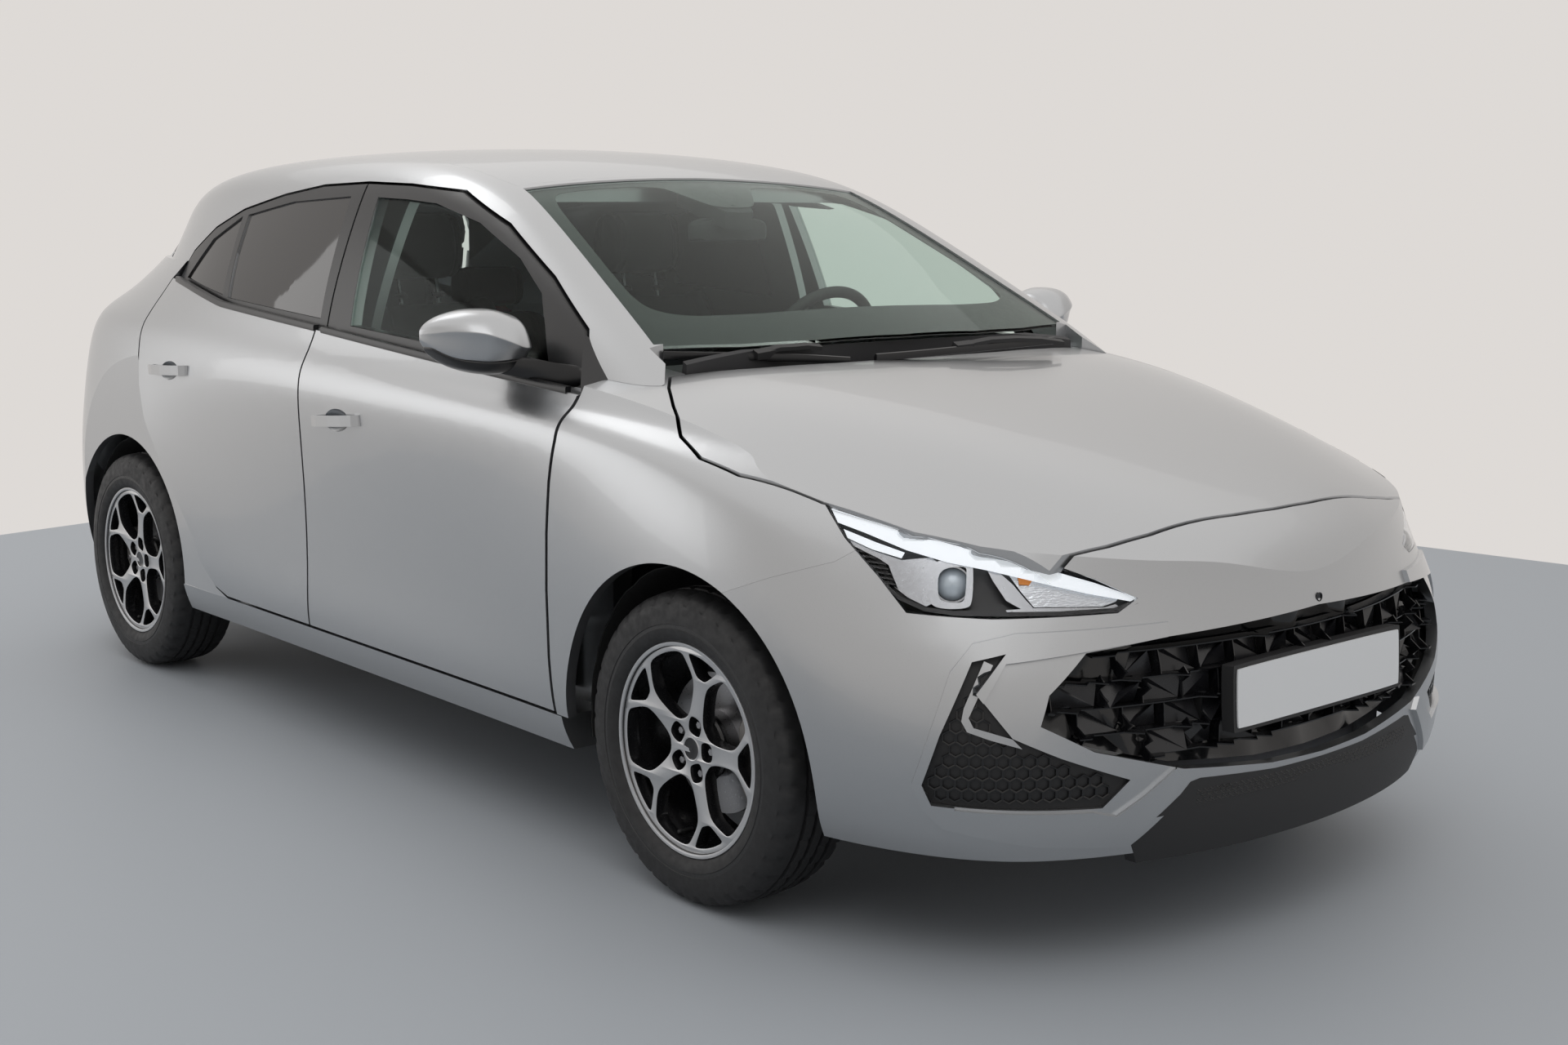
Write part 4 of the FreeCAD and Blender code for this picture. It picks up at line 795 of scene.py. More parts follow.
def headlamps():
    """Lamp units behind clear covers: dark tub, light strips, projector, ribbed pocket and turn section."""
    tree = tree_of("headlamp_right")

    def patch(name, outlines, depth, thickness, mat, spacing=8):
        def put(a, b, more):
            return seen(tree, a, b, depth + more, LAMP_MIDDLE)
        pair(name, thick_patch(outlines, put, thickness, spacing), [mat], smooth=35)

    tub = [(x + (1205 - x)*0.012, y + (700 - y)*0.03) for x, y in LAMP_EDGE]
    patch("lamp_tub", [tub], 46, 6, "lamp_dark", 12)
    rim = [(x + (1205 - x)*0.045, y + (702 - y)*0.13) for x, y in LAMP_EDGE]
    patch("lamp_rim", [tub, rim], 6, 40, "lamp_dark", 9)
    patch("lamp_strip_long", [[(1018, 623), (1100, 649), (1180, 671), (1270, 694), (1340, 714), (1392, 732),
                               (1386, 737), (1330, 727), (1290, 718), (1210, 699), (1160, 689), (1110, 674),
                               (1060, 653), (1026, 640)]], 9, 9, "lamp_light")
    patch("lamp_strip_short", [[(1033, 648), (1072, 664), (1108, 677), (1104, 684), (1068, 673),
                                (1038, 659)]], 12, 9, "lamp_light")
    patch("lamp_shroud", [[(1038, 660), (1068, 674), (1104, 686), (1140, 683), (1150, 690), (1146, 702),
                           (1144, 738), (1134, 743), (1112, 732), (1094, 718), (1100, 722), (1088, 692),
                           (1076, 684), (1044, 668)]], 20, 16, "lamp_chrome", 6)
    patch("lamp_pocket", [[(1042, 668), (1060, 674), (1080, 684), (1088, 700), (1096, 718), (1082, 714),
                           (1064, 696)]], 34, 6, "lamp_dark")
    for i in range(7):
        y = 673 + 6.4*i
        left, right = 1046 + 5.2*i, min(1078 + 3.4*i, 1098)
        rib = [(left, y), (right, y + 4), (right, y + 6), (left, y + 2)]
        patch("lamp_rib_%d" % i, [rib], 24, 10, "lamp_dark", 10)
    outer = [(1136, 686), (1188, 684), (1192, 692), (1191, 738), (1184, 746), (1148, 746), (1136, 736)]
    inner = [(1149, 697), (1182, 693), (1184, 700), (1182, 733), (1177, 739), (1153, 737), (1148, 728)]
    patch("lamp_bezel", [chaikin(outer, 2), chaikin(inner, 2)], 12, 24, "lamp_chrome", 6)
    centre = seen(tree, 1166, 716, 40)
    out = -sight(1166, 716)
    across = out.cross(Vector((0, 0, 1))).normalized()
    axes = (centre, across, across.cross(out).normalized(), out)
    lens = lathe([(-14, 31), (-4, 31), (4, 27), (12, 19), (17, 9), (18, 0.5)], 32)
    pair("lamp_projector", turned(lens, *axes), ["lens_glass"])
    ring = lathe([(-16, 31), (-1, 33.5), (1, 32.5), (1, 29.5), (-6, 29), (-16, 29)], 32, closed=True)
    pair("lamp_projector_ring", turned(ring, *axes), ["lamp_chrome"])
    patch("lamp_blade", [[(1208, 697), (1222, 700), (1240, 716), (1256, 735), (1266, 746), (1250, 746),
                          (1232, 736), (1216, 712)]], 16, 20, "lamp_chrome")
    patch("lamp_turn", [[(1234, 703), (1262, 711), (1310, 722), (1370, 732), (1366, 737), (1350, 743),
                         (1266, 744), (1250, 725)]], 20, 8, "turn_ribbed")
    patch("lamp_amber", [[(1246, 706), (1264, 711), (1260, 717), (1248, 716)]], 17, 5, "lamp_amber", 6)
    patch("lamp_sill", [[(1224, 748), (1266, 745), (1352, 744), (1366, 740), (1371, 744), (1354, 748),
                         (1268, 750), (1228, 752)]], 14, 12, "lamp_chrome")
    patch("lamp_shelf", [[(1144, 748), (1190, 748), (1226, 740), (1240, 748), (1238, 753), (1170, 753)]],
          14, 26, "lamp_dark")
    for side, sign in SIDES:
        cover = lens_cover("headlamp_%s" % side, "lamp_cover_%s" % side, sign)
        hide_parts("headlamp_%s" % side)


def lens_cover(node, name, sign):
    """Clear cover, 3 mm thick: the outer faces of the node that hang together with its largest one."""
    work = bmesh.new()
    work.from_mesh(nodes[node].data)
    out = Vector((0.75, sign*0.55, 0.25)).normalized()
    gone = [f for f in work.faces if f.normal.dot(out) < 0.45]
    bmesh.ops.delete(work, geom=gone, context="FACES")
    keep, stack = set(), [max(work.faces, key=lambda f: f.calc_area())]
    while stack:
        face = stack.pop()
        if face not in keep:
            keep.add(face)
            stack += [other for edge in face.edges for other in edge.link_faces if other not in keep]
    bmesh.ops.delete(work, geom=[f for f in work.faces if f not in keep], context="FACES")
    return settle(object_of(work, name, "lamp_clear"), "root", 40, 0, 3.0)


# Front end

def grille():
    """Lattice of slanted faceted blades over dark depth, between slim bars."""
    outline = both_sides([(0, 618), (170, 611), (385, 602), (537, 586), (612, 520), (631, 468), (545, 418),
                          (368, 368), (150, 346), (0, 342)])
    place = skin_place(tree_of("grille"), start=2400, middle=480, narrow=0.97, flat=0.94)
    shrunk = [(y*0.985, 480 + (z - 480)*0.97) for y, z in outline]
    behind = piece("grille_back", thick_patch([shrunk], place(34), 5, 45), ["gloss_black"], "root")
    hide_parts("grille")
    tall, wide = 46, 84
    rows = [346 + tall*k for k in range(7)]
    spots = [(row, step, step*wide + (wide/2 if row % 2 else 0))
             for row in range(len(rows)) for step in range(-9, 10)]
    cells, bars = [], []
    for row, step, y in spots:
        low, high, left, right = rows[row], rows[row] + tall, y - wide/2, y + wide/2
        corners = [(left, low), (right, low), (right, high), (left, high)]
        if all(inside(shrunk, *c) for c in corners):
            lean = 1 if (row + step) % 2 else -1
            ridge = [(y - lean*wide*0.42, low + 3), (y + lean*wide*0.30, high - 3)]
            cells.append(blade_cell(corners, ridge, place))
    piece("grille_facets", joined(*cells), ["grille_dark"], "root", smooth=0)
    for low in rows[1:]:
        span = [y for y in range(-640, 641, 20) if inside(shrunk, y, low)]
        if len(span) > 2:
            bars.append(sweep([place(4)(y, low, 0) for y in span],
                              [(-2.2, 0), (-1.2, 4), (1.2, 4), (2.2, 0), (1.6, -22), (-1.6, -22)],
                              (1, 0, 0)))
    for row, step, y in spots:
        left, low, high = y - wide/2, rows[row], rows[row] + tall
        if high <= rows[-1] and inside(shrunk, left, low) and inside(shrunk, left, high):
            bars.append(sweep([place(6)(left, low + tall*i/3, 0) for i in range(4)],
                              [(-1.8, 0), (-1, 3), (1, 3), (1.8, 0), (1.4, -18), (-1.4, -18)], (1, 0, 0)))
    piece("grille_lattice", joined(*bars), ["gloss_black"], "root", smooth=30)


def blade_cell(corners, ridge, place):
    """One cell of the lattice: four facets that fall from a slanted ridge to the cell's edges."""
    verts = [place(26)(y, z, 0) for y, z in corners] + [place(9)(y, z, 0) for y, z in ridge]
    if ridge[0][0] < ridge[1][0]:
        faces = [(0, 1, 5, 4), (1, 2, 5), (2, 3, 4, 5), (3, 0, 4)]
    else:
        faces = [(0, 1, 4), (1, 2, 5, 4), (2, 3, 5), (3, 0, 4, 5)]
    return verts, faces


def blend_at(table, t):
    """Value at t between the (t, value) pairs of a table."""
    for (t0, a), (t1, b) in zip(table, table[1:]):
        if t <= t1:
            return a + (b - a)*max(0.0, t - t0)/(t1 - t0)
    return table[-1][1]


MIRROR_FRONT = ((0, 628), (0.06, 650), (0.3, 655), (0.55, 640), (0.75, 608), (0.9, 560), (0.97, 525),
                (1, 500))
MIRROR_REAR = ((0, 520), (0.06, 510), (0.5, 498), (0.9, 486), (0.97, 488), (1, 494))
MIRROR_TOP = ((0, 1096), (0.06, 1112), (0.3, 1126), (0.6, 1125), (0.8, 1114), (0.93, 1098), (1, 1080))
MIRROR_EDGE = ((0, 1046), (0.15, 1044), (0.35, 1060), (0.6, 1078), (0.85, 1082), (1, 1072))
MIRROR_FOOT = ((0, 1030), (0.06, 1022), (0.5, 1016), (0.8, 1022), (0.93, 1040), (1, 1060))
MIRROR_ROOT, MIRROR_REACH = -800, 189


def door_mirrors():
    """Two-part housings: a creased painted cap over a black lower shell on a short arm.
    t runs from the root of a housing to its tip."""
    steps = (0, 0.02, 0.06, 0.14, 0.24, 0.34, 0.44, 0.54, 0.64, 0.74, 0.82, 0.89, 0.94, 0.975, 1)
    sections, low_sections = [], []
    for t in steps:
        front, rear = blend_at(MIRROR_FRONT, t), blend_at(MIRROR_REAR, t)
        top, edge, foot = blend_at(MIRROR_TOP, t), blend_at(MIRROR_EDGE, t), blend_at(MIRROR_FOOT, t)
        y, deep = MIRROR_ROOT - MIRROR_REACH*t, front - rear
        sections.append([(x, y, z) for x, z in (
            (rear + 1, top - 0.16*(top - foot)), (rear + 0.12*deep, top - 2), (rear + 0.35*deep, top),
            (rear + 0.62*deep, top - 0.06*(top - edge)), (rear + 0.84*deep, top - 0.32*(top - edge)),
            (rear + 0.96*deep, edge + 0.22*(top - edge)), (front, edge + 1.5), (front, edge - 0.5),
            (front - 0.05*deep, edge - 0.2*(edge - foot)), (front - 0.09*deep, foot + 0.4*(edge - foot)),
            (front - 0.14*deep, foot + 2), (front - 0.20*deep, foot), (rear + 0.4*deep, foot),
            (rear + 0.1*deep, foot), (rear + 1, foot + 0.1*(top - foot)))])
    for t in (0, 0.03, 0.1, 0.25, 0.45, 0.62, 0.76, 0.86, 0.92, 0.95):
        front, rear, foot = blend_at(MIRROR_FRONT, t), blend_at(MIRROR_REAR, t), blend_at(MIRROR_FOOT, t)
        y = MIRROR_ROOT - 1 - MIRROR_REACH*t
        deep, drop = front - rear, 34*max(0.15, 1 - (t/0.95)**3) if t > 0.02 else 26
        low_sections.append([(x, y, z) for x, z in (
            (rear + 3, foot + 5), (front - 0.16*deep, foot + 5), (front - 0.15*deep, foot - 2),
            (front - 0.20*deep, foot - 0.55*drop), (front - 0.34*deep, foot - 0.9*drop),
            (rear + 0.40*deep, foot - drop), (rear + 0.16*deep, foot - 0.9*drop),
            (rear + 3, foot - 0.5*drop))])
    doors = ("front_door_right", "front_door_left")
    caps = pair("mirror_cap", loft(sections), ["paint"], doors, smooth=50, subdivide=2)
    pair("mirror_shell", loft(low_sections), ["black_satin"], doors, smooth=50, subdivide=2)
    for (name, _), cap in zip(SIDES, caps):
        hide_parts("mirror_" + name)
    rim_loop, glass_loop = [], []
    spots = [0.07 + 0.84*i/14 for i in range(15)]
    for inset, loop in ((5, rim_loop), (9, glass_loop)):
        for t in spots:
            loop.append((MIRROR_ROOT - MIRROR_REACH*t, blend_at(MIRROR_TOP, t) - inset - 8))
        for t in reversed(spots):
            loop.append((MIRROR_ROOT - MIRROR_REACH*t, blend_at(MIRROR_FOOT, t) + inset - 2))
    rim_loop, glass_loop = chaikin(rim_loop, 1), chaikin(glass_loop, 1)

    def rearward(y, z, more):
        t = (MIRROR_ROOT - y)/MIRROR_REACH
        return (blend_at(MIRROR_REAR, t) - 2.0 + more, y, z)
    pair("mirror_rim", thick_patch([rim_loop, glass_loop], rearward, 9, 10), ["black_satin"], doors)
    pair("mirror_glass", thick_patch([glass_loop], lambda y, z, more: rearward(y, z, more + 2), 5, 14),
         ["mirror_face"], doors)
    arm = []
    for x, y, z, tall, deep in (
            (585, -868, 1012, 20, 30), (612, -838, 1008, 24, 30), (648, -812, 1002, 23, 27),
            (688, -793, 997, 21, 26), (722, -778, 993, 22, 28), (744, -758, 990, 25, 32)):
        arm.append([(x + deep*math.cos(a), y + 0.45*deep*math.cos(a), z + tall*math.sin(a))
                    for a in (2*math.pi*k/14 for k in range(14))])
    pair("mirror_arm", loft(arm), ["black_satin"], doors, smooth=60, subdivide=1)


def on_plane(px, py, corners, depth):
    """Point where the line of sight through a pixel meets the plane of three corners, moved on by depth."""
    eye = scene.camera.matrix_world.translation/MM
    along = sight(px, py)
    first, second, third = (Vector(c) for c in corners)
    normal = (second - first).cross(third - first)
    return eye + along*((first - eye).dot(normal)/along.dot(normal) + depth)


SAIL = ((704, -717, 1077), (873, -752, 943), (810, -810, 958))


def sail_triangles():
    """Black corner cover on the body, just ahead of the front door's window."""
    outline = [(717, 410), (722, 414), (741, 440), (752, 462), (757, 482), (756, 490), (752, 493), (735, 490),
               (712, 484), (711, 470), (712, 450), (714, 425)]
    pair("sail_cover", thick_patch([outline], lambda a, b, more: on_plane(a, b, SAIL, more - 3), 18, 6),
         ["black_satin"])


SCREEN = [(915, 0), (905, 250), (880, 440), (845, 590), (832, 635), (222, 524), (185, 520), (176, 0)]


def windscreen_parts():
    """Printed black border and camera field under the glass, inner mirror, wipers."""
    glass = tree_of("windscreen")

    def under_glass(x, y, more):
        hit = cast(glass, (x, y, 2000), (0, 0, -1)) or cast(glass, (x*0.99 + 5, y*0.985, 2000), (0, 0, -1))
        return (x, y, hit[0].z - 7 - more)

    rim = both_sides([(x - 1.5 if x > 500 else x + 1.5, y - 2 if y else 0) for x, y in SCREEN], axis=1)
    clear = both_sides([(792, 0), (786, 250), (770, 400), (748, 500), (700, 560), (600, 552), (330, 500),
                        (255, 478), (222, 455), (208, 420), (205, 150), (250, 118), (318, 74), (330, 40),
                        (332, 0)], axis=1)
    piece("windscreen_border", thick_patch([rim, chaikin(clear, 2)], under_glass, 1.2, 42), ["frit"], "root")
    box = both_sides([(212, 92), (300, 66), (345, 44), (352, 0)], axis=1)
    piece("camera_box", thick_patch([box], lambda x, y, more: under_glass(x, y, more + 3), 42, 24), ["cabin"],
          "root", smooth=30)
    eye = lathe([(0, 11), (6, 11), (8, 9), (5, 4), (5, 0.5)], 20)
    piece("camera_eye", turned(eye, Vector(under_glass(318, 0, 12)), Vector((0, 1, 0)),
                               Vector((-0.43, 0, 0.9)).normalized(), Vector((0.9, 0, 0.43)).normalized()),
          ["gloss_black"], "root")
    loop = chaikin([(-120, -18), (-112, -32), (112, -32), (120, -18), (116, 30), (-116, 30)], 3)
    housing = [[(292 + out, 6 + a*scale, 1278 + b*scale) for a, b in loop]
               for scale, out in ((0.86, 22), (0.97, 14), (1, 4), (1, -6))]
    piece("inner_mirror", loft(housing), ["cabin"], "root")
    stem = sweep([(292, 0, 1285), (286, 0, 1320), (262, 0, 1352)], [(-9, -9), (9, -9), (9, 9), (-9, 9)],
                 (1, 0, 0))
    piece("inner_mirror_stem", stem, ["cabin"], "root", smooth=30)
    wipers(glass)


WIPER_BLADE = [(-7, -5), (-5, 4), (-2, 9), (2, 9), (5, 4), (7, -5), (1.2, -9), (-1.2, -9)]
WIPER_MIDDLE = (900, 360)


def wipers(glass):
    """Two blades parked low on the glass, each on an arm from the cowl."""
    out = (0.4, 0, 0.9)

    def on_glass(spot, depth):
        return Vector(seen(glass, spot[0], spot[1], depth, WIPER_MIDDLE))

    for name, line, joint, pivot, bend in (
            ("right", [(812, 435), (870, 436), (930, 437), (990, 439), (1040, 442)],
             (936, 433), (1004, 427), (-4, 0, 5)),
            ("left", [(1072, 438), (1120, 434), (1180, 428), (1240, 422), (1290, 417)],
             (1180, 424), (1300, 421), (4, 0, 12))):
        shape = sweep([on_glass(spot, -11) for spot in line], WIPER_BLADE, out)
        piece("wiper_blade_" + name, shape, ["black_satin"], "root", smooth=30)
        start, end = on_glass(joint, -14), on_glass(pivot, 2)
        middle = (start + end)/2 + Vector(bend)
        run = [start, start.lerp(middle, 0.5) + Vector((0, 0, 4)), middle,
               middle.lerp(end, 0.5) + Vector((0, 0, 3)), end]
        arm = sweep(run, [(-9, 0), (-7, 8), (7, 8), (9, 0)], out)
        along = (middle - start).normalized()
        block = sweep([start - along*26, start, start + along*22], [(-12, -6), (-9, 9), (9, 9), (12, -6)],
                      out)
        piece("wiper_arm_" + name, joined(arm, block), ["black_plastic"], "root", smooth=30)


PLATE = [(-260, -50), (-260, 50), (-255, 55), (255, 55), (260, 50), (260, -50), (255, -55), (-255, -55)]


def number_plates():
    """Bare plate on a black holder in front of the grille."""
    centre, across, up = Vector((2046, 0, 482)), Vector((0, 1, 0)), Vector((-0.061, 0, 1)).normalized()
    out = across.cross(up)

    def plate(name, outline, depth, thickness, mat):
        shape = thick_patch([chaikin(outline, 2)],
                            lambda a, b, more: centre + across*a + up*b - out*(depth + more), thickness, 60)
        piece(name, shape, [mat], "root", smooth=30)

    plate("plate_front", PLATE, 0, 3, "plate")
    plate("plate_holder_front", [(a*1.035, b*1.14) for a, b in PLATE], 3.2, 26, "black_plastic")


INTAKE = [(843, 591), (785, 578), (732, 453), (703, 363), (720, 327), (1017, 316), (1066, 362), (942, 411),
          (857, 449), (793, 525)]


def honeycombs():
    """Six-sided cells over the side intakes."""
    tree = tree_of("side_intakes")
    half = math.sqrt(0.5)
    edge = [(888 + (a - 888)*0.985, 430 + (b - 430)*0.985) for a, b in INTAKE]

    def put(a, b, depth):
        hit = cast(tree, (half*(a + 2600), -half*(2600 - a), b), (-1, 1, 0))
        if hit is None:
            return None
        return hit[0] + Vector((-1, 1, 0)).normalized()*(depth - 5)

    cells, size = [], 13.5
    step_across, step_up = size*1.732, size*1.5
    faces = [(i*6 + k, i*6 + (k + 1) % 6, ((i + 1) % 4)*6 + (k + 1) % 6, ((i + 1) % 4)*6 + k)
             for i in range(4) for k in range(6)]
    for row in range(-2, 24):
        for step in range(-2, 28):
            a, b = 690 + step_across*(step + (0.5 if row % 2 else 0)), 305 + step_up*row
            corners = [(a + size*p, b + size*q) for p, q in polar([(60*k + 30, 1) for k in range(6)])]
            if not all(inside(edge, *c) for c in corners):
                continue
            inner = [(a + (p - a)*0.80, b + (q - b)*0.80) for p, q in corners]
            verts = []
            for loop, depth in ((corners, 0), (inner, 0.6), (inner, 9), (corners, 9)):
                verts += [put(p, q, depth) for p, q in loop]
            if None not in verts:
                cells.append((verts, faces))
    pair("intake_cells", joined(*cells), ["gloss_black"], smooth=0)


# Seats: swollen covers in the space of the plain solids that stand for them

SEAT_MIDDLE, SEAT_HALF = 370, 236
SEAT_X = round(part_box("front_seats")[0][0]/MM) + 365
REAR_X = round(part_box("rear_seat")[0][0]/MM) + 1100
SEAM_WIDTH, SEAM_DEPTH = 13, 7.0
FAR = 99  # distance that a seam gives where it has no place


def pad(outline, half, up, bolster=0.0, tuck=0.80):
    """Verts and faces of a cushion: a side outline (x, z) carried across the car, tucked in at both ends.
    bolster lifts the face that looks along up near its two sides."""
    outline = chaikin(outline, 2)
    middle = [sum(p[i] for p in outline)/len(outline) for i in (0, 1)]
    reach = max((x - middle[0])*up[0] + (z - middle[1])*up[1] for x, z in outline)
    parts = [-1, -0.985, -0.95, -0.88, -0.78, -0.68, -0.58, -0.45, -0.3, -0.15, 0]
    parts += [-part for part in reversed(parts[:-1])]
    rings = []
    for part in parts:
        scale = tuck + (1 - tuck)*math.sqrt(max(0.0, 1 - max(0.0, (abs(part) - 0.85)/0.15)**2))
        swell = bolster*math.sin(math.pi*min(1.0, max(0.0, (abs(part) - 0.55)/0.45)))
        ring = []
        for x, z in outline:
            high = max(0.0, (x - middle[0])*up[0] + (z - middle[1])*up[1])/reach
            ring.append((middle[0] + (x - middle[0])*scale + up[0]*swell*high, part*half,
                         middle[1] + (z - middle[1])*scale + up[1]*swell*high))
        rings.append(ring)
    return loft(rings)


def inflate(obj, cap, frames=20):
    """A moment of air pressure inside a cover, without weight; no point moves further than cap (mm)."""
    start = [v.co.copy() for v in obj.data.vertices]
    mod = obj.modifiers.new("cover", "CLOTH")
    mod.settings.use_pressure = True
    mod.settings.uniform_pressure_force = 4.0
    mod.settings.effector_weights.gravity = 0.0
    mod.settings.quality = 4
    mod.point_cache.frame_start, mod.point_cache.frame_end = 1, frames
    for number in range(1, frames + 1):
        scene.frame_set(number)
    graph = bpy.context.evaluated_depsgraph_get()
    moved = [v.co.copy() for v in obj.evaluated_get(graph).data.vertices]
    obj.modifiers.clear()
    for v, first, last in zip(obj.data.vertices, start, moved):
        step = last - first
        v.co = first + step*min(1.0, cap*MM/max(step.length, 1e-9))
    scene.frame_set(1)


def cover(name, shape, place, seams, insert, voxel=12.0, cap=14.0, fill=0.85):
    """Padded piece at place (mm): seams are distance functions (x, y, z in mm) along which it is pressed in,
    and insert says which points carry the woven cloth."""
    obj = linked(name, mesh_of(name, shape))
    mod = obj.modifiers.new("even", "REMESH")
    mod.mode, mod.voxel_size = "VOXEL", voxel*MM
    bake_modifiers(obj)
    inflate(obj, cap)
    mod = obj.modifiers.new("round", "SUBSURF")
    mod.levels = mod.render_levels = 1
    bake_modifiers(obj)
    mesh = obj.data
    mesh.materials.clear()
    mesh.materials.append(finish["bolster"])
    mesh.materials.append(finish["cloth"])
    shifts = []
    for v in mesh.vertices:
        near = min(abs(seam(*(v.co/MM))) for seam in seams)
        sink = SEAM_DEPTH*math.cos(math.pi/2*near/SEAM_WIDTH)**2 if near < SEAM_WIDTH else 0.0
        shifts.append(v.normal*sink*MM)
    for p in mesh.polygons:
        p.material_index = 1 if insert(p.center/MM, p.normal) else 0
    for v, shift in zip(mesh.vertices, shifts):
        v.co += Vector(place)*MM - shift
    mesh.polygons.foreach_set("use_smooth", [True]*len(mesh.polygons))
    mesh.update()
    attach(obj, "root")
    return obj


def copied(obj, name, shift):
    """The same cover again at another place, for the next seat."""
    mesh = obj.data.copy()
    mesh.name = name
    for v in mesh.vertices:
        v.co += Vector(shift)*MM
    twin = linked(name, mesh)
    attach(twin, "root")
    return twin


def front_seats():
    """Two front seats: cushion, backrest and headrest, on a shell with rails."""
    squab = [(-128, 380), (-140, 470), (-60, 498), (120, 490), (280, 504), (372, 520), (396, 486), (384, 410),
             (335, 366), (100, 362)]
    wide = 0.60*SEAT_HALF
    narrow = wide - 14
    lean = Vector((0.93, 0, 0.36))
    place = (SEAT_X, -SEAT_MIDDLE, 0)
    cushion = cover("front_cushion_right", pad(squab, SEAT_HALF, (0, 1), 34), place,
                    [lambda x, y, z: (abs(y) - wide) if z > 440 else FAR,
                     lambda x, y, z: (x - 300) if z > 440 and abs(y) < wide else FAR,
                     lambda x, y, z: (x - 60) if z > 440 and abs(y) < wide else FAR,
                     lambda x, y, z: (z - 452) if x > 340 or abs(y) > SEAT_HALF*0.9 else FAR],
                    lambda p, n: abs(p.y) < wide and n.z > 0.3 and p.x < 300)
    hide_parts("front_seats")
    back = [(-166, 432), (-240, 640), (-322, 1020), (-300, 1078), (-250, 1090), (-218, 1050), (-150, 820),
            (-62, 560), (-28, 490), (-60, 430)]

    def down(x, z):
        return (z - 760) + 0.36*(x + 150)

    def behind_face(x, z):
        return x + 0.45*(z - 430)

    rest = cover("front_back_right", pad(back, SEAT_HALF - 12, (0.93, 0.36), 42), place,
                 [lambda x, y, z: (abs(y) - narrow) if behind_face(x, z) > -110 else FAR,
                  lambda x, y, z: (down(x, z) - 210) if abs(y) < narrow and behind_face(x, z) > -110 else FAR,
                  lambda x, y, z: (down(x, z) + 40) if abs(y) < narrow and behind_face(x, z) > -110 else FAR,
                  lambda x, y, z: (behind_face(x, z) + 128) if abs(y) > SEAT_HALF*0.82 or z > 1040 else FAR],
                 lambda p, n: abs(p.y) < narrow and n.dot(lean) > 0.3 and down(p.x, p.z) < 210)
    head = [(-352, 1142), (-366, 1220), (-350, 1290), (-318, 1312), (-270, 1306), (-246, 1250), (-250, 1160),
            (-290, 1132)]
    top = cover("front_headrest_right", pad(head, 122, (1, 0), 6, 0.70), place,
                [lambda x, y, z: (abs(y) - 96) if x > -330 else FAR,
                 lambda x, y, z: (x + 316) if abs(y) > 90 or z > 1270 else FAR],
                lambda p, n: abs(p.y) < 96 and n.x > 0.3, voxel=9.0, cap=8.0)
    for obj, name in ((cushion, "cushion"), (rest, "back"), (top, "headrest")):
        copied(obj, "front_%s_left" % name, (0, 2*SEAT_MIDDLE, 0))
    shield = [(-170, 452), (-150, 500), (-96, 506), (-20, 462), (180, 446), (330, 440), (352, 400),
              (318, 352), (-60, 330), (-150, 352)]
    floor_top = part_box("front_seats")[0][2]/MM
    ring = [(6.5*math.cos(2*math.pi*k/12), 6.5*math.sin(2*math.pi*k/12)) for k in range(12)]
    guide = lathe([(-6, 17), (3, 17), (6, 13), (6, 7)], 20)
    for name, side in SIDES:
        middle = side*SEAT_MIDDLE
        shields, rails, posts = [], [], []
        for edge in (-1, 1):
            rim = middle + edge*(SEAT_HALF - 4)
            shields.append(thick_patch([chaikin(shield, 2)],
                                       lambda a, b, more: (SEAT_X + a, rim + edge*(7 - more), b), 12, 30))
            y = middle + 170*edge
            lower = [(SEAT_X + x, y, floor_top + 12) for x in (-230, -60, 120, 300, 430)]
            upper = [(SEAT_X + x, y, floor_top + 30) for x in (-150, 0, 150, 350)]
            rails.append(sweep(lower, [(-20, -12), (20, -12), (20, 6), (13, 10), (-13, 10), (-20, 6)],
                               (0, 0, 1)))
            rails.append(sweep(upper, [(-14, -8), (14, -8), (14, 14), (-14, 14)], (0, 0, 1)))
            for x in (SEAT_X - 120, SEAT_X + 320):
                leg = [(x, y, floor_top + 40), (x + 6, y, floor_top + 80), (x, y, 372)]
                rails.append(sweep(leg, [(-9, -26), (9, -26), (9, 26), (-9, 26)], (1, 0, 0)))
            y = middle + 57*edge
            line = [(SEAT_X - 276, y, 1060), (SEAT_X - 292, y, 1120), (SEAT_X - 304, y, 1170)]
            posts += [sweep(line, ring, (1, 0, 0)), shifted(guide, SEAT_X - 281, y, 1094)]
        piece("seat_shield_" + name, joined(*shields), ["black_plastic"], "root", smooth=30)
        piece("seat_rails_" + name, joined(*rails), ["steel"], "root", smooth=30)
        shape = joined(*posts)
        piece("headrest_posts_" + name, shape, ["lamp_chrome", "cabin"], "root",
              [part % 2 for part in shape[2]])


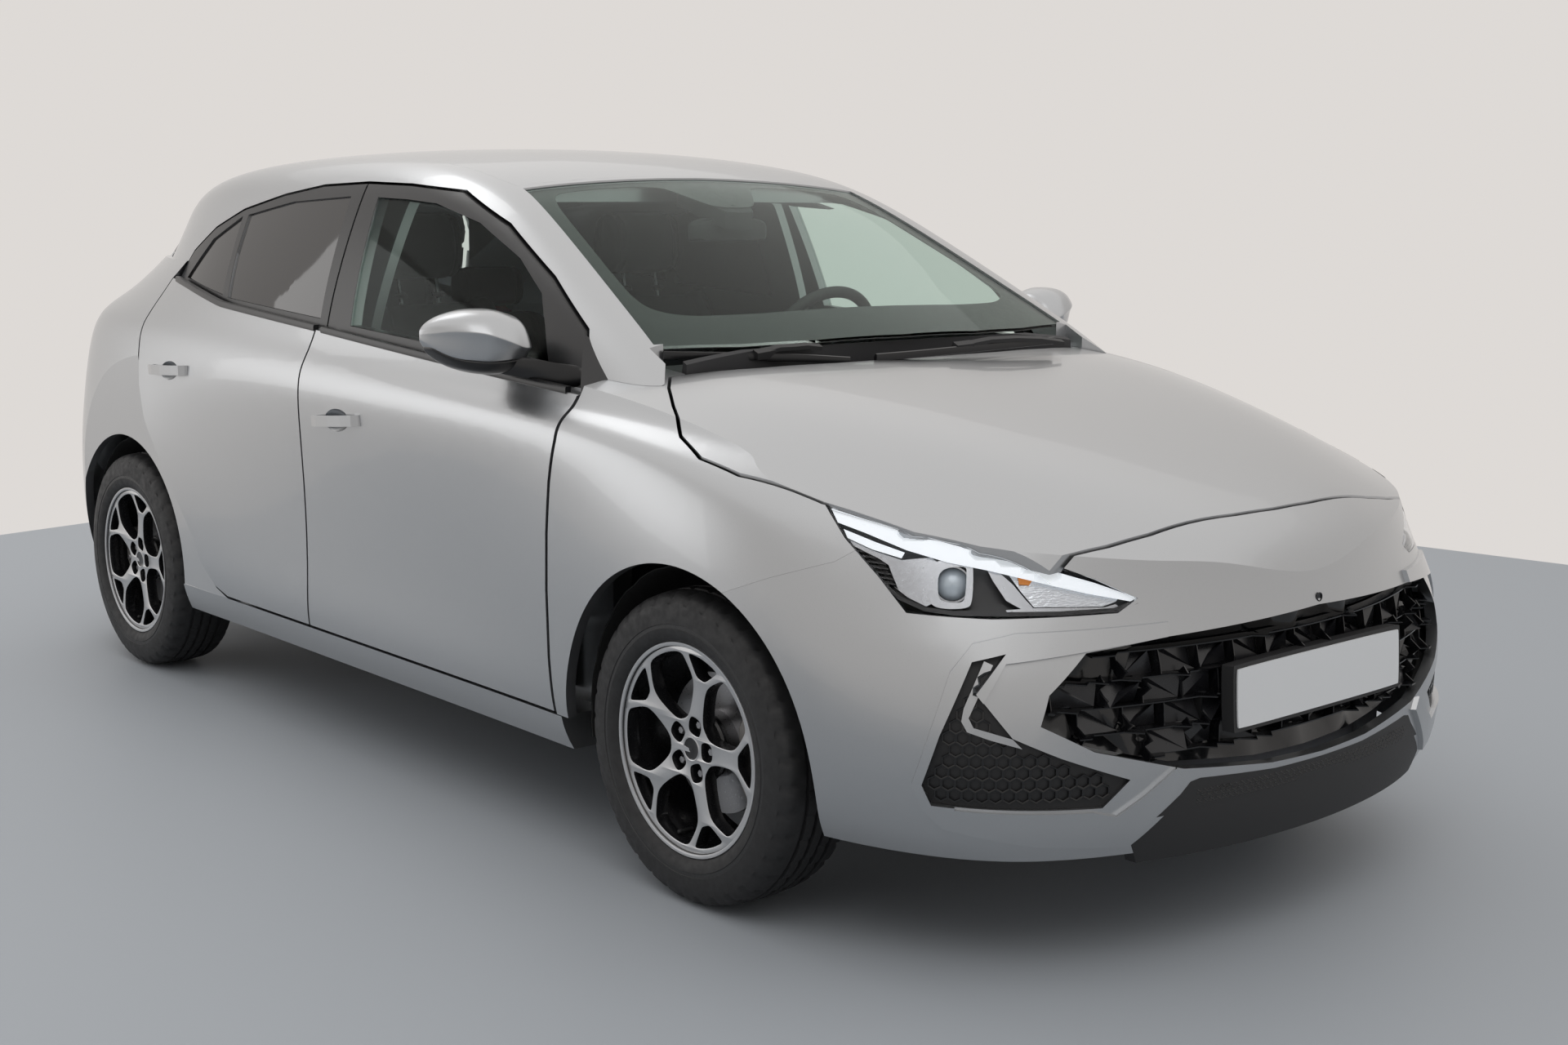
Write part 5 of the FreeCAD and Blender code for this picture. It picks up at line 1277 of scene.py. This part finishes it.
def rear_bench():
    """Bench with two hollows, a split backrest and three low headrests."""
    squab = [(-850, 374), (-856, 420), (-800, 452), (-620, 450), (-470, 476), (-402, 470), (-386, 430),
             (-396, 320), (-500, 290), (-670, 296), (-704, 368)]
    bench = cover("rear_cushion", pad(squab, 606, (0, 1), 26, 0.86), (REAR_X, 0, 0),
                  [lambda x, y, z: (abs(y) - 150) if z > 380 else FAR,
                   lambda x, y, z: (abs(y) - 500) if z > 380 else FAR,
                   lambda x, y, z: (x + 460) if z > 400 and 150 < abs(y) < 500 else FAR,
                   lambda x, y, z: (z - 400) if x > -440 else FAR],
                  lambda p, n: 150 < abs(p.y) < 500 and n.z > 0.3 and p.x < -460, voxel=15.0)
    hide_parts("rear_seat")
    back = [(-930, 376), (-1010, 700), (-1086, 960), (-1060, 1002), (-1010, 996), (-962, 880), (-880, 600),
            (-832, 450), (-850, 376)]
    lean = Vector((0.95, 0, 0.3))

    def is_front(x, z):
        return x > -0.36*(z - 376) - 890

    cover("rear_back", pad(back, 548, (0.95, 0.3), 24, 0.84), (REAR_X, 0, 0),
          [lambda x, y, z: (y + 150) if z > 430 else FAR,
           lambda x, y, z: (y - 150) if is_front(x, z) else FAR,
           lambda x, y, z: (abs(y) - 452) if is_front(x, z) else FAR,
           lambda x, y, z: (z - 870) if 150 < abs(y) < 452 and is_front(x, z) else FAR],
          lambda p, n: 150 < abs(p.y) < 452 and n.dot(lean) > 0.3 and p.z < 870, voxel=15.0)
    head = [(-1094, 1012), (-1100, 1080), (-1084, 1128), (-1044, 1136), (-1016, 1104), (-1012, 1030),
            (-1040, 1004)]
    first = cover("rear_headrest_right", pad(head, 118, (1, 0), 0, 0.72), (REAR_X, -330, 0),
                  [lambda x, y, z: (abs(y) - 92) if x > -1070 else FAR],
                  lambda p, n: abs(p.y) < 92 and n.x > 0.3, voxel=11.0, cap=6.0)
    copied(first, "rear_headrest_middle", (0, 330, 0))
    copied(first, "rear_headrest_left", (0, 660, 0))


# Front trims

def front_trims():
    """Folded edge of the side blade, ribbed splitter face and the sensor's eye."""
    blade = [(1205, 810), (1216, 815), (1186, 880), (1192, 892), (1240, 906), (1252, 918), (1212, 907),
             (1184, 897), (1177, 884), (1180, 868)]
    intake = tree_of("side_intakes")
    shape = thick_patch([blade], lambda a, b, more: seen(intake, a, b, more - 9, (1200, 930)), 10, 7)
    pair("blade_fold", shape, ["paint"], smooth=35)
    ahead = skin_place(tree_of("front_bumper", "front_valance", "grille"), start=2600, middle=300,
                       narrow=0.98, flat=0.96)
    upper = both_sides([(0, 333), (140, 334), (330, 346), (352, 342), (372, 322), (420, 286), (360, 290),
                        (300, 296), (0, 300)])
    piece("splitter_face", thick_patch([upper], ahead(-0.7), 4, 22), ["black_plastic"], "root")
    ribs = []
    for row in range(3):
        for step in range(-22, 23):
            for lean in (-1, 1):
                y, z = step*15.0 + 7.5*(row % 2), 303 + 9.0*row
                ends = [(y - lean*6.5, z - 4), (y + lean*6.5, z + 4)]
                if all(inside(upper, *e) for e in ends):
                    ribs.append(sweep([ahead(-0.5)(a, b, 0) for a, b in ends],
                                      [(-1.2, 0), (0, 0.8), (1.2, 0)], (1, 0, 0)))
    piece("splitter_hatch", joined(*ribs), ["gloss_black"], "root", smooth=20)
    centre = seen(tree_of("front_bumper", "front_valance"), 1615, 731, 0, (1600, 700))
    eye = lathe([(0.5, 9), (2.2, 8.5), (2.2, 6.5), (0.6, 6), (0.6, 0.4)], 24)
    piece("front_sensor", turned(eye, centre, Vector((0, 1, 0)), Vector((0, 0, 1)), Vector((1, 0, 0))),
          ["gloss_black"], "root")


# Rear details

def rear_details():
    """Plate in its recess, handle strip, wiper, high brake lamp, lamp bars, lower cover and reflectors."""
    gate, low = (skin_place(tree_of(*names), start=-3200, middle=700, narrow=0.97, flat=0.97)
                 for names in (("tailgate", "tailgate_glass"), ("rear_bumper",)))

    def fit(name, outline, place, thickness, spacing, mat, body, smooth=40):
        piece(name, thick_patch([outline], place, thickness, spacing), [mat], body, smooth=smooth)

    recess = chaikin([(0, 868), (262, 868), (300, 842), (306, 760), (280, 728), (0, 728)], 2, False)
    fit("plate_recess", both_sides(recess), gate(-1.5), 4, 40, "black_plastic", "tailgate")
    x, _, z = Vector(gate(-12)(0, 795, 0))
    fit("plate_rear", chaikin(PLATE, 2), lambda a, b, more: (x + more, a, z + b), 3, 60, "plate", "tailgate",
        30)
    fit("plate_holder_rear", chaikin([(a*1.03, b*1.12) for a, b in PLATE], 2),
        lambda a, b, more: (x + 3.2 + more, a, z + b), 9, 60, "black_plastic", "tailgate", 30)
    grip = [(-190, 884), (190, 884), (196, 891), (190, 899), (-190, 899), (-196, 891)]
    fit("tailgate_grip", chaikin(grip, 1), gate(-5), 8, 30, "trim_silver", "tailgate")
    for name, side in SIDES:
        lamp = [(side*150, 873), (side*206, 873), (side*206, 881), (side*150, 881)]
        fit("plate_lamp_" + name, lamp, gate(-3), 5, 20, "lamp_chrome", "tailgate")
    line = [gate(-13)(y, z, 0) for y, z in ((-12, 1098), (-110, 1092), (-210, 1090), (-310, 1093),
                                            (-352, 1096))]
    piece("rear_wiper_blade", sweep(line, WIPER_BLADE, (-0.9, 0, 0.4)), ["black_satin"], "tailgate",
          smooth=30)
    run = [gate(-10)(0, 1064, 0), gate(-20)(-50, 1072, 0), gate(-22)(-130, 1084, 0), gate(-20)(-182, 1091, 0)]
    arm = sweep(run, [(-10, -3), (-7, 6), (7, 6), (10, -3)], (-0.9, 0, 0.4))
    base = lathe([(-10, 24), (6, 24), (13, 19), (15, 8), (15, 0.4)], 28)
    foot = turned(base, Vector(gate(0)(0, 1058, 0)), Vector((0, 1, 0)), Vector((0.3, 0, 0.95)).normalized(),
                  Vector((-0.95, 0, 0.3)).normalized())
    piece("rear_wiper_arm", joined(arm, foot), ["black_plastic"], "tailgate", smooth=30)
    lamp = [(-160, 1306), (160, 1306), (168, 1314), (160, 1322), (-160, 1322), (-168, 1314)]
    fit("high_brake_lamp", chaikin(lamp, 1), gate(-3), 6, 24, "lamp_red", "tailgate")
    cover = both_sides([(0, 432), (300, 430), (420, 412), (600, 402), (664, 382), (690, 340), (690, 240),
                        (0, 238)])
    fit("rear_lower_cover", cover, low(-1.6), 4, 34, "black_plastic", "root")
    fins = [sweep([low(-3)(y, z, 0) for z in (246, 280, 310, 336)], [(-4, -3), (-2, 4), (2, 4), (4, -3)],
                  (-1, 0, 0)) for y in (-210, -70, 70, 210)]
    piece("rear_fins", joined(*fins), ["black_satin"], "root", smooth=30)
    for name, side in SIDES:
        reflector = [(side*592, 372), (side*690, 352), (side*690, 366), (side*592, 388)]
        fit("rear_reflector_" + name, reflector, low(-4), 5, 16, "lamp_red", "root")
    tail_bars()


def tail_bars():
    """Light bars and reversing lamp on the tail lamps, placed along a slanted way from behind."""
    body = tree_of("tail_lamps", "side_frame_right")
    way, across = Vector((0.8, 0.6, 0)), Vector((-0.6, 0.8, 0))

    def wrap(depth):
        def put(a, b, more):
            origin = across*a - way*3000 + Vector((0, 0, b))
            for step in range(20):
                hit = cast(body, origin + across*(580 - a)*0.05*step, way)
                if hit is not None:
                    break
            return origin + way*((hit[0] - origin).dot(way) + depth + more)
        return put

    for name, outline, mat, depth in (
            ("tail_bar_low", [(470, 926), (690, 916), (690, 925), (470, 934)], "lamp_bright", -1.5),
            ("tail_bar_high", [(500, 952), (690, 950), (690, 958), (504, 960)], "lamp_bright", -1.5),
            ("tail_reverse", [(610, 932), (688, 928), (688, 945), (610, 947)], "lamp_chrome", -1)):
        pair(name, thick_patch([outline], wrap(depth), 3, 14), [mat])


# Wheel arches

def arch_liners():
    """Black liners over the wheels; the rear ones are closed towards the boot."""
    for end, x in AXLES.items():
        inner, outer = (560, 812) if end == "front" else (642, 812)
        verts = []
        for part in range(-2, 43):
            turn = math.radians(4.5*part)
            wave = 357 - 3*(part % 4 == 0)
            verts += [(x + wave*math.cos(turn), -y, RADIUS + wave*math.sin(turn))
                      for y in (inner, 700, outer)]
        faces = [(3*i + k, 3*i + k + 1, 3*i + k + 4, 3*i + k + 3)
                 for i in range(len(verts)//3 - 1) for k in (0, 1)]
        if end == "rear":
            first, last = 5, 39
            faces += [(3*i, 3*i + 3, len(verts)) for i in range(first, last)]
            verts.append((x, -inner, verts[3*first][2]))
        pair("arch_liner_" + end, (verts, faces), ["liner"], smooth=35, solid=2.5)


# Surroundings

def floor():
    """Plain blue-grey floor that ends where the wall of the photograph stands."""
    mat = material("pale_floor", (0.47, 0.495, 0.525), 0.55)
    mesh = bpy.data.meshes.new("pale_floor")
    corner, along, across = Vector((-4.5, 3.24, 0)), Vector((0.99, 0.138, 0)), Vector((0.183, -0.983, 0))
    wide, deep = along*11.5, across*10.5
    mesh.from_pydata([corner, corner + deep, corner + deep + wide, corner + wide], [], [(0, 1, 2, 3)])
    mesh.materials.append(mat)
    obj = linked("pale_floor", mesh)


def world():
    """Pale wall colour to the camera, to glossy and to clear surfaces; a plain even light on the rest."""
    scene.world = bpy.data.worlds.new("studio")
    scene.world.use_nodes = True
    tree = scene.world.node_tree
    shown = tree.nodes["Background"]
    set_sockets(shown, {"Color": (0.73, 0.70, 0.675, 1), "Strength": 1.0})
    light = node_of(tree, "Background", Color=(0.86, 0.87, 0.88, 1), Strength=0.42)
    path = node_of(tree, "LightPath")
    first, second = node_of(tree, "Math"), node_of(tree, "Math")
    first.operation = second.operation = "MAXIMUM"
    mix = node_of(tree, "MixShader")
    for start, end in ((path.outputs["Is Camera Ray"], first.inputs[0]),
                       (path.outputs["Is Glossy Ray"], first.inputs[1]),
                       (first.outputs["Value"], second.inputs[0]),
                       (path.outputs["Is Transmission Ray"], second.inputs[1]),
                       (second.outputs["Value"], mix.inputs["Fac"]),
                       (light.outputs["Background"], mix.inputs[1]),
                       (shown.outputs["Background"], mix.inputs[2]),
                       (mix.outputs["Shader"], tree.nodes["World Output"].inputs["Surface"])):
        tree.links.new(start, end)


def lights():
    """Four large lamps: name, place in metres, width, power in watts and the point each looks at."""
    for name, place, size, power, aim in (("key", (4.5, -3.5, 6.0), 5.0, 45, (0.9, 0, 0.6)),
                                          ("back", (-3.9, -0.4, 6.0), 3.2, 36, (0.9, -0.6, 0.9)),
                                          ("side", (-7.5, -7.0, 2.6), 6.0, 85, (0, -0.8, 0.9)),
                                          ("top", (0, 0, 6.5), 24.0, 400, (0, 0, 0))):
        data = bpy.data.lights.new(name, "AREA")
        data.shape, data.size, data.size_y, data.energy = "RECTANGLE", size, size*0.7, power
        obj = linked(name, data)
        obj.location = place
        obj.rotation_euler = (Vector(aim) - Vector(place)).to_track_quat("-Z", "Y").to_euler()


camera()
finish = materials()
dress()
wheels()
greenhouse()
headlamps()
grille()
door_mirrors()
sail_triangles()
windscreen_parts()
number_plates()
honeycombs()
front_seats()
rear_bench()
front_trims()
rear_details()
arch_liners()
floor()
world()
lights()
scene.view_settings.view_transform = "Standard"
